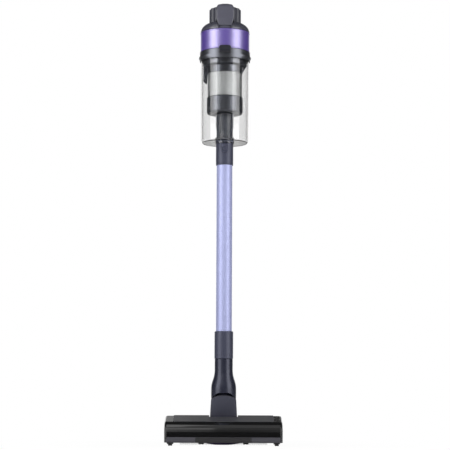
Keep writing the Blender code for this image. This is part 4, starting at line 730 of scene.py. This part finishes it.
def upper_collar():
    """A turned collar with a spigot above and a flat boss in front for the release key."""
    low, high = BOX["pipe_upper_collar"]
    base, top, r = low[2], high[2], high[0]
    shoulder, groove, seat = top - 27.6, r - 0.4, BOX["pipe_tube"][1][0] + 0.3
    corners = [(15.6, top), (15.6, shoulder), (r, shoulder), (r, base + 4.2), (groove, base + 3.7)]
    stop = shoulder - 24.1
    corners += [(groove, base + 3.2), (r, base + 2.7), (groove, base), (seat, base), (seat, stop)]
    corners += [(13.8, stop), (13.8, top)]
    ease = [0.5, 0.3, 1.2, 0.2, 0.1, 0.1, 0.3, 0.4, 0.3, 0.2, 0.2, 0.4]
    collar = turned("upper_collar_shell", eased(corners, ease, 4))
    key_low, key_high = BOX["pipe_release_button"]
    middle = (key_low[2] + key_high[2]) / 2
    boss = block("front_boss", (-8, low[1], middle - 11), (8, 4 - r, middle + 11), "Y", 5, 1.6)
    join(collar, boss)
    face, back, key_r = key_low[1], key_high[1], 5
    room, near, far = key_r + KEY_GAP, low[1] - 8, low[1] + 4.7
    room = eased([(0.02, near), (room, near), (room, far), (0.02, far)], 0.02, 2, closed=False)
    cut(collar, turned("key_room", room, "Y", (0, 0, middle), FINE))
    dress(collar, "pipe", collar_abs, "collar_grey", "pipe_upper_collar")
    dished = [(0.02, face + 0.5), (3.2, face + 0.35), (4.2, face), (key_r, face + 0.3), (key_r, back)]
    dished = eased([*dished, (0.02, back)], [0.02, 1, 0.4, 0.3, 0.4, 0.02], 5, closed=False)
    key = turned("pipe_release_key", dished, "Y", (0, 0, middle), FINE)
    dress(key, "pipe_release", collar_abs, "button_lilac", "pipe_release_button")


# ---------------------------------------------------------------- clear bin


def dust_bin():
    """The wall's outside and inside lines, with a thick foot ring, carried round."""
    base, top, radius = extent("dust_bin")
    foot = radius - 1.4
    corners = [(radius, top), (foot, base + 4), (foot - 3, base), (20.9, base), (20.9, base + 2.2)]
    corners += [(foot - 4.1, base + 2.2), (foot - 2.2, base + 5), (radius - 2.2, top)]
    wall = turned("clear_bin_wall", eased(corners, [0.5, 3, 2.5, 0.4, 0.4, 2, 2, 0.5], 6), columns=192)
    dress(wall, "bin", bin_pc, "clear_bin", "dust_bin")


def inlet():
    """The standing air tube and the black ring round its foot."""
    low, high = BOX["inlet_tube"]
    base, top = low[2] + 2.3, high[2] - 15
    corners = [(17, top + 15), (17, top), (20.4, top), (20.4, top - 29), (19, top - 38.5), (19, base + 7.5)]
    corners += [(21.6, base + 7.5), (21.6, base), (20.4, base), (20.4, base - 2.3), (16.1, base - 2.3)]
    corners += [(16.1, base + 25.4), (15, base + 25.4), (15, top + 15)]
    ease = [0.4, 0.3, 1.0, 3, 3, 0.6, 0.8, 0.3, 0.2, 0.3, 0.4, 0.3, 0.3, 0.4]
    tube = turned("inlet_duct", eased(corners, ease, 5))
    dress(tube, "bin", inlet_abs, "inlet_grey", "inlet_tube")
    under, over = base + 7.7, base + 10.2
    ring = eased([(21.4, under), (21.4, over), (19.15, over), (19.15, under)], 0.7, 5)
    dress(turned("inlet_seal_ring", ring), "bin", seal_rubber, "inlet_grey")


# ---------------------------------------------------------------- cyclone


def cyclone():
    """Skirt, mesh and body are turned shells; the fin and the vane are thin eased plates."""
    base, top, r = extent("cyclone_skirt")
    corners = [(r - 1.8, top), (r, top - 2), (r, base + 4), (r - 2, base), (17.5, base), (17.5, base + 2.2)]
    corners += [(r - 4.2, base + 2.2), (r - 4.2, top)]
    skirt = turned("cyclone_skirt_shell", eased(corners, [0.4, 1.5, 4, 2.2, 0.4, 0.4, 1.5, 0.4], 6))
    dress(skirt, "motor_unit", skirt_abs, "skirt_grey", "cyclone_skirt")

    base, top, r = extent("mesh_screen")
    screen = turned("mesh_sleeve", eased([(r, top), (r, base), (r - 0.9, base), (r - 0.9, top)], 0.2, 3))
    sheet_map(screen, r)
    dress(screen, "motor_unit", mesh_steel, "mesh_steel", "mesh_screen")

    base = top + 0.3
    _, top, r = extent("cyclone_body")
    neck = r - 10.2
    step = base + 16
    corners = [(r, top), (r, step + 2), (neck, step), (neck, base), (neck - 4.3, base), (neck - 4.3, step)]
    corners += [(r - 4.3, step + 6), (r - 4.3, top)]
    body = turned("cyclone_shell", eased(corners, [0.5, 2.5, 1.5, 0.6, 0.6, 2, 2, 0.5], 6))
    fin = [(1 - r, step + 4), (1 - r, step - 34), (-neck - 0.5, step - 41), (1.5 - neck, step + 1)]
    fin = prism("flow_fin", eased(fin, [0.3, 5, 2, 0.3], 5), edged(-1.2, 1.2, 0.5, 0.5, 3), "Y")
    vane = [(r - 0.5, step + 4), (neck - 1, base + 1), (neck - 2, base + 5), (neck + 4, step + 4)]
    vane = prism("inlet_vane", eased(vane, [0.3, 1.5, 0.6, 0.3], 5), edged(-1.5, 1.5, 0.5, 0.5, 3), "Y")
    join(body, fin, vane)
    dress(body, "motor_unit", cyclone_abs, "cyclone_grey", "cyclone_body")

    base, top, r = extent("bin_seal")
    seal = eased([(r, top), (r, base), (r - 2.7, base), (r - 2.7, top)], 0.7, 5)
    dress(turned("bin_lip_seal", seal), "motor_unit", seal_rubber, "belt_rubber", "bin_seal")


def sheet_map(piece, radius):
    """A UV map of arc length, radius times the angle round Z, and height, both in metres. The seam's
    faces go on past a full turn."""
    mesh = piece.data
    corner = np.empty(len(mesh.loops), np.int32)
    mesh.loops.foreach_get("vertex_index", corner)
    points = np.empty(len(mesh.vertices) * 3)
    mesh.vertices.foreach_get("co", points)
    x, y, z = points.reshape(-1, 3)[corner].T
    angle = np.arctan2(y, x) % (2 * np.pi)
    owner = np.empty(len(mesh.polygons), np.int32)
    mesh.polygons.foreach_get("loop_total", owner)
    face = np.repeat(np.arange(len(owner)), owner)
    most = np.zeros(len(owner))
    np.maximum.at(most, face, angle)
    angle = np.where((most[face] > 1.5 * np.pi) & (angle < 0.5 * np.pi), angle + 2 * np.pi, angle)
    flat = np.stack([angle * radius * MM, z], -1).astype(np.float32)
    mesh.uv_layers.new(name="sheet").data.foreach_set("uv", flat.ravel())


# ---------------------------------------------------------------- motor unit


def main_flange():
    """The collar that carries the bin, with a pocket for the latch. A rim at half its height swells
    out towards each side: depth e^(-(h/3.2)^2) times a smooth step of |cos a|."""
    lip, top, r = extent("main_flange")
    web, seat = lip + 9, BOX["dust_bin"][1][0] + 0.45
    wall = seat + 1.5
    corners = [(wall, top), (wall, lip + 2), (seat, lip + 2), (seat, web), (30, web), (30, web + 3)]
    corners += [(r - 5.6, web + 3), (r - 5.6, top)]
    profile = dense(eased(corners, [0.8, 0.6, 0.4, 0.4, 0.4, 0.4, 0.4, 0.5], 6), 1.0)

    def rim(angle, height):
        side = np.clip((np.abs(np.cos(angle)) - 0.5) / 0.4, 0, 1)
        swell = (r - wall) * np.exp(-(((height - web - 1) / 3.2) ** 2)) * side**2 * (3 - 2 * side)
        return np.where(profile[:, :1] > wall - 0.1, swell, 0)

    flange = turned("flange_collar", profile, ripple=rim)
    key = BOX["bin_latch"][1]
    cut(flange, block("latch_room", (-14.5, -2 * r, web + 2), (14.5, key[1] + 1.9, web + 22), "Y", 4, 0))
    dress(flange, "motor_unit", flange_abs, "flange_black", "main_flange")


def bin_latch():
    """A domed key with a rounded top."""
    low, high = BOX["bin_latch"]
    half, base, top = high[0], low[2], high[2]
    outline = [(-half, base), (half, base), (half, top - 1), (5, top), (-5, top), (-half, top - 1)]
    outline = eased(outline, [2, 2, 8, 8, 8, 8], 8)
    latch = prism("latch_key", outline, edged(low[1], high[1], 2.0, 0.3, 6), "Y")
    dress(latch, "bin_latch", latch_abs, "flange_black", "bin_latch")


def trim_ring():
    """A spun ring with a raised rim at each edge."""
    base, top, r = extent("trim_ring")
    corners = [(r - 2, top), (r - 1.1, top), (r, top - 1.2), (r, top - 2.8), (r - 0.5, top - 3.3)]
    corners += [(r - 0.5, base + 3.3), (r, base + 2.8), (r, base + 1.0), (r - 0.8, base), (r - 2, base)]
    ease = [0.2, 0.6, 0.8, 0.3, 0.3, 0.3, 0.3, 0.6, 0.3, 0.2]
    ring = turned("violet_ring", eased(corners, ease, 5), columns=192)
    dress(ring, "motor_unit", ring_alloy, "purple_ring", "trim_ring")


def dome_line(depth, count, first=0.0):
    """Points (radius, height) of a quarter ellipse stopped short of its top, moved in by a depth."""
    base, top, r = extent("shoulder_cover")
    last, width = 72, 28
    f = np.radians(np.linspace(first, last, count))
    rise = (top - base) / math.sin(math.radians(last))
    return np.stack([r - width + (width - depth) * np.cos(f), base + (rise - depth) * np.sin(f)], -1)


def shoulder_cover():
    """The dome's outer and inner quarter ellipses, closed at the hole and the foot."""
    outer = dome_line(0, 28)[::-1]
    inner = dome_line(PLATE, 24)
    foot = [outer[-1] + [0, 1], outer[-1], inner[0], inner[0] + [0, 1]]
    foot = eased(foot, [0.02, 0.5, 0.3, 0.02], 4, closed=False)[1:-1]
    hole = [(33, inner[-1, 1] + 0.3), (33, outer[0, 1] - 0.3), (33.3, outer[0, 1])]
    profile = np.vstack([outer[:-1], foot, inner[1:], hole])
    dress(turned("shoulder_dome", profile), "motor_unit", shoulder_abs, "shoulder_grey", "shoulder_cover")


CAP_LIFT = 1.5  # the cap's visible top stands this much above the plain one


def filter_cap():
    """A turned cap whose radius dips between its grip lobes, less so towards its top edge, with a slot
    in front for the tab."""
    lobe_count = 14
    low, high = BOX["filter_cap"]
    top, base, r = high[2] + CAP_LIFT, low[2] + 10, 36.6
    corners = [(0.02, top), (r, top), (r, base), (32.2, base), (32.2, base - 10), (30, base - 10)]
    corners += [(30, top - 3), (0.02, top - 3)]
    profile = eased(corners, [0.02, 1.3, 0.8, 0.3, 0.4, 0.3, 1.0, 0.02], 8, closed=False)

    def lobes(angle, height):
        outside = profile[:, :1] > 32.6
        fade = np.clip((top - height) / 4, 0, 1) ** 0.5
        return np.where(outside, -3.2 * (0.5 - 0.5 * np.cos(lobe_count * angle)) * (0.55 + 0.45 * fade), 0)

    cap = turned("lobed_cap", profile, columns=lobe_count * 16, ripple=lobes)
    cut(cap, block("tab_slot", (-21.3, -90, base - 1), (21.3, -31.2, top + 1), "Z", 0.1, 0))
    dress(cap, "filter_cap", cap_abs, "cap_dark", "filter_cap")


def filter_tab():
    """The side line of the tab carried across it. The half width follows the height, and the line
    shrinks inwards near both sides for a soft edge."""
    low, high = BOX["filter_tab"]
    foot, cap_top, _ = extent("filter_cap")
    base, cap_top = foot + 10, cap_top + CAP_LIFT
    top, reach = high[2], -low[1]
    under = dome_line(0, 16, 14.4) * [-1, 1] + [-0.8, 0.8]
    front = [(3 - reach, under[0, 1]), (-reach, base + 2), (1.5 - reach, base + 20), (9 - reach, cap_top)]
    over = cap_top + 0.3
    rear = [(22 - reach, top), (-20, top), (-12, over), (-31.5, over), (-31.5, base + 0.3)]
    line = eased(front + rear, [0.8, 2, 2.5, 12, 9, 6, 0.6, 0.4, 0.4], 7)
    line = np.vstack([line, under[::-1]])
    height = [under[0, 1], base, cap_top - 6, cap_top + 1, top - 3.3, top - 0.9, top + 0.1]
    half = np.interp(line[:, 1], height, [15.2, 20.6, 20.2, 17.2, 13.2, 7.4, 4.2])
    f = np.linspace(0, np.pi / 2, 9)
    share, depth = 1 - 0.16 * (1 - np.cos(f)), 2.4 * (1 - np.sin(f))
    soft = [*zip(-share, depth), *zip(share[::-1], depth[::-1])]
    grid = np.stack([np.stack([half * part, *inset(line, d).T], -1) for part, d in soft])
    tab = skin("locking_tab", grid, flat_ends=True)
    dress(tab, "filter_cap", tab_abs, "tab_grey", "filter_tab")


# ---------------------------------------------------------------- handle and battery


def handle_outline(top, dock):
    """Side line of the loop handle, as (y, z)."""
    front = BOX["main_flange"][1][0] + 1.5
    line = [(50, top), (100, top + 9), (130, top + 4), (150, top - 21), (150, top - 66), (140, top - 114)]
    line += [(134, dock), (front + 1.5, dock), (front, dock + 24), (front, top - 43.3), (50, top - 43.3)]
    return eased(line, [4, 26, 22, 24, 26, 26, 5, 4, 14, 1.5, 3], 8)


def handle():
    """Two shells, each a thick prism with a large round on its outer edge, a flared finger hole, a
    hollow and the bores for the body, the keys and the dock."""
    dock, _, half = extent("handle_right")
    _, flange_top, flange_r = extent("main_flange")
    _, ring_top, ring_r = extent("trim_ring")
    top, gap, wall = ring_top - 2, 0.4, 2.6
    outline = handle_outline(top, dock)
    finger = [(70, top - 108), (112, top - 108), (121, top - 76), (121, top - 41), (112, top - 22)]
    finger = eased([*finger, (70, top - 24)], [10, 14, 20, 20, 12, 10], 8)
    for name, sign in (("left", -1), ("right", 1)):

        def rings(*ends):
            return edged(*ends, 8) * [sign, 1]

        shell = prism(f"handle_shell_{name}", outline, rings(0.15, half, 0.12, 9), "X")
        flare = rings(-1, half, 0, -7)
        flare = np.vstack([flare, [sign * (half + 2), flare[-1, 1]]])
        hollow = prism("hollow", inset(outline, wall), rings(-1, half - 2.5, 0, 5), "X")
        cut(hollow, prism("wall", inset(finger, -wall), rings(-2, half, 0, 0), "X"))
        rooms = [prism("finger_room", finger, flare, "X"), hollow]
        rooms.append(round_room("ring_room", ring_r + gap, flange_top - 1, top + 100))
        rooms.append(round_room("flange_room", flange_r + gap, flange_top - 30, flange_top + 0.5))
        rooms.append(block("dock_room", (-9.45, 74.55, dock - 1), (9.45, 120.45, dock + 5), "Z", 1, 0))
        for key in ("power_button", "mode_button"):
            key_low, key_high = BOX[key]
            r, y = (key_high[0] - key_low[0]) / 2 + KEY_GAP, (key_low[1] + key_high[1]) / 2
            rooms.append(round_room("key_room", r, top - 6, top + 40, "Z", (0, y, 0), FINE))
        for room in rooms:
            cut(shell, room)
        dress(shell, "motor_unit", handle_abs, "handle_grey", f"handle_{name}")
    grip_pad(top)
    for key in ("power_button", "mode_button"):
        round_key(key)


def grip_pad(top):
    """A flat section carried down the back of the grip, its face rising and falling as a cosine of the
    distance every 4 mm."""
    knots = [(150.35, top - 31), (150.35, top - 52), (150.2, top - 66), (147.4, top - 82)]
    path = curve_through([*knots, (140.6, top - 113.4)], 220)
    step = np.gradient(path, axis=0)
    step /= np.linalg.norm(step, axis=1, keepdims=True)
    normal = np.stack([-step[:, 1], step[:, 0]], -1)
    normal *= np.sign(normal[:, :1])
    run = np.concatenate([[0], np.cumsum(np.linalg.norm(np.diff(path, axis=0), axis=1))])
    end = np.clip(np.minimum(run, run[-1] - run) / 2.5, 0, 1)
    rise = (1.55 + 0.35 * np.cos(2 * np.pi * run / 4)) * np.sqrt(1 - (1 - end) ** 2) + 0.05
    section = eased([(-12, 0), (12, 0), (12, 1), (-12, 1)], [0.02, 0.02, 0.8, 0.8], 5)
    point = path[:, None] + normal[:, None] * (section[:, 1] * rise[:, None])[..., None]
    x = np.broadcast_to(section[:, 0], point.shape[:2])
    pad = skin("grip_pad_ribs", np.concatenate([x[..., None], point], -1), flat_ends=True)
    dress(pad, "motor_unit", grip_tpe, "grip_rubber", "grip_pad")


def round_key(name):
    """A dished push key on a thin stem."""
    low, high = BOX[name]
    r, middle = (high[0] - low[0]) / 2, (low + high) / 2
    top, bottom = high[2], low[2]
    under = bottom + 1.7
    corners = [(0.02, top - 0.7), (r * 0.55, top - 0.5), (r * 0.8, top), (r, top - 0.4), (r, under)]
    corners += [(2, under), (2, bottom), (0.02, bottom)]
    profile = eased(corners, [0.02, 2, 0.8, 0.8, 0.3, 0.2, 0.2, 0.02], 6, closed=False)
    key = turned(f"{name}_cap", profile, centre=(0, middle[1], 0), columns=FINE)
    dress(key, name, key_abs, "button_lilac", name)


SHADOW_GROOVE = [(-0.8, 0), (-0.4, 0.55), (0.4, 0.55), (0.8, 0)]  # height and depth


def battery():
    """A rounded case with two shadow grooves and two ribbed latch keys."""
    low, high = BOX["battery_case"]
    rect = [(low[0], low[1]), (high[0], low[1]), (high[0], high[1]), (low[0], high[1])]
    outline = eased(rect, 7, 8)
    rings = edged(low[2], high[2], 3, 0.6, 6)
    foot = rings[:8]
    grooves = [(z + up, depth) for z in (low[2] + 12, low[2] + 46) for up, depth in SHADOW_GROOVE]
    case = prism("battery_shell", outline, np.vstack([foot, grooves, rings[8:]]), "Z")
    wall = 1.8
    cut(case, block("cell_room", low + wall, high + [-wall, -wall, 4], "Z", 5, 0))
    for name, side in (("left", -1), ("right", 1)):
        key_low, key_high = BOX[f"battery_latch_{name}"]
        gap = np.array([3, KEY_GAP, KEY_GAP])
        cut(case, block("latch_room", key_low - gap, key_high + gap, "X", 1.5, 0))
        key = ribbed_key(f"battery_latch_key_{name}", key_low, key_high, "X", side, 2)
        dress(key, f"battery_latch_{name}", key_abs, "button_lilac", f"battery_latch_{name}")
    dress(case, "battery", battery_abs, "battery_grey", "battery_case")


HEAD = (head_hood, top_panel, end_caps, front_bumper, wheels, brush_roll, lint_pile)
PIPE = (neck_elbow, neck_socket, lower_collar, pipe_tube, upper_collar, dust_bin, inlet)
UNIT = (cyclone, main_flange, bin_latch, trim_ring, shoulder_cover, filter_cap, filter_tab, handle, battery)
for build in HEAD + PIPE + UNIT:
    build()

coat(chassis_abs, "head_chassis", "sole_plate", "motor_housing")
coat(motor_alloy, "brush_motor", "motor_pulley", "suction_motor", "impeller")
coat(belt_rubber, "drive_belt", "motor_mount", "power_conduit")
coat(pin_steel, "pitch_pin_left", "pitch_pin_right", "bearing_left", "bearing_right")
coat(filter_foam, "pre_motor_filter", "exhaust_filter")
coat(board_epoxy, "control_board")
coat(cell_pvc, "cell_block")
coat(battery_abs, "battery_lid")


# ---------------------------------------------------------------- floor, light and camera


def floor():
    """A wide pale sheet. The camera sees it nearly white, with the object's soft shadow kept."""
    half = 6.0
    corners = [(-half, -half, 0), (half, -half, 0), (half, half, 0), (-half, half, 0)]
    mesh = bpy.data.meshes.new("floor_sheet")
    mesh.from_pydata(corners, [], [[0, 1, 2, 3]])
    sheet = bpy.data.objects.new("floor_sheet", mesh)
    bpy.context.scene.collection.objects.link(sheet)
    material, tree, shader, place = new_material("pale_matt_floor")
    shader.inputs["Base Color"].default_value = linear("f4f4f4")
    shader.inputs["Roughness"].default_value = 0.9
    glow = node(tree, "ShaderNodeEmission", {"Color": linear("ffffff"), "Strength": 1.0})
    camera_ray = node(tree, "ShaderNodeLightPath").outputs["Is Camera Ray"]
    away = node(tree, "ShaderNodeVectorMath", {0: place}, operation="LENGTH").outputs["Value"]
    share = worked(tree, "MULTIPLY", camera_ray, ranged(tree, away, 0.2, 0.5, 0.97, 1.0))
    mixed(tree, share, shader, glow)
    mesh.materials.append(material)


def studio():
    """Metal and glass see a white backdrop behind the object and dim walls elsewhere. The camera sees
    white."""
    world = bpy.data.worlds.new("studio_walls")
    bpy.context.scene.world = world
    world.use_nodes = True
    tree = world.node_tree
    way = node(tree, "ShaderNodeTexCoord").outputs["Generated"]
    part = node(tree, "ShaderNodeSeparateXYZ", {0: way})
    flat = node(tree, "ShaderNodeVectorMath", {0: way, 1: (1, 1, 0)}, operation="MULTIPLY")
    length = node(tree, "ShaderNodeVectorMath", {0: flat.outputs[0]}, operation="LENGTH").outputs["Value"]
    soft = dict(interpolation_type="SMOOTHSTEP")
    back = ranged(tree, worked(tree, "DIVIDE", part.outputs[1], length), 0.8, 0.9, 0.0, 1.0, **soft)
    low = ranged(tree, part.outputs[2], 0.33, 0.25, 0.0, 1.0, **soft)
    walls = ranged(tree, worked(tree, "MULTIPLY", back, low), 0.0, 1.0, 0.05, 1.0)
    path = node(tree, "ShaderNodeLightPath").outputs["Is Camera Ray"]
    strength = node(tree, "ShaderNodeMix", {0: path, 2: walls, 3: 1.0}, data_type="FLOAT").outputs[0]
    sky = node(tree, "ShaderNodeBackground", {"Color": linear("ffffff"), "Strength": strength})
    tree.links.new(sky.outputs[0], tree.nodes["World Output"].inputs["Surface"])


def lamp(name, place, aim, size, power):
    """A soft box facing a point."""
    data = bpy.data.lights.new(name, "AREA")
    data.shape, data.size, data.size_y, data.energy = "RECTANGLE", *size, power
    piece = bpy.data.objects.new(name, data)
    bpy.context.scene.collection.objects.link(piece)
    piece.location = place
    piece.rotation_mode = "QUATERNION"
    piece.rotation_quaternion = (Vector(aim) - Vector(place)).to_track_quat("-Z", "Y")
    piece.visible_camera = False


def camera():
    """Stands low in front, tipped up a little, as the object is seen from."""
    data = bpy.data.cameras.new("front_camera")
    data.lens = 122.4
    data.sensor_width = 36
    data.clip_start, data.clip_end = 0.1, 100
    piece = bpy.data.objects.new("front_camera", data)
    bpy.context.scene.collection.objects.link(piece)
    piece.location = (0.0016, -3.488, 0.1043)
    piece.rotation_mode = "QUATERNION"
    tip, roll = math.radians(96.47), math.radians(0.23)
    piece.rotation_quaternion = Quaternion((1, 0, 0), tip) @ Quaternion((0, 0, 1), roll)
    bpy.context.scene.camera = piece


floor()
studio()
lamp("soft_box_left", (-1.82, -1.23, 1.1), (0, 0, 1.1), (1.5, 2.6), 49)
lamp("soft_box_right", (1.82, -1.23, 1.1), (0, 0, 1.1), (1.5, 2.6), 49)
lamp("overhead_box", (0, -1.0, 2.0), (0, -0.1, 0), (2.4, 1.5), 5.5)
lamp("overhead_left_box", (-0.9, -0.75, 1.7), (-0.1, -0.1, 0), (1.0, 1.5), 4.5)
lamp("low_card", (0, -1.0, 0.64), (0, 0, 0.64), (1.1, 0.44), 0.5)
lamp("low_left_card", (-0.32, -0.98, 0.64), (-0.32, 0, 0.64), (0.5, 0.44), 0.7)
lamp("back_card", (-0.4, 1.5, 0.62), (0, 0, 0.06), (0.6, 0.4), 0.22)
camera()
bpy.context.scene.view_settings.view_transform = "Standard"
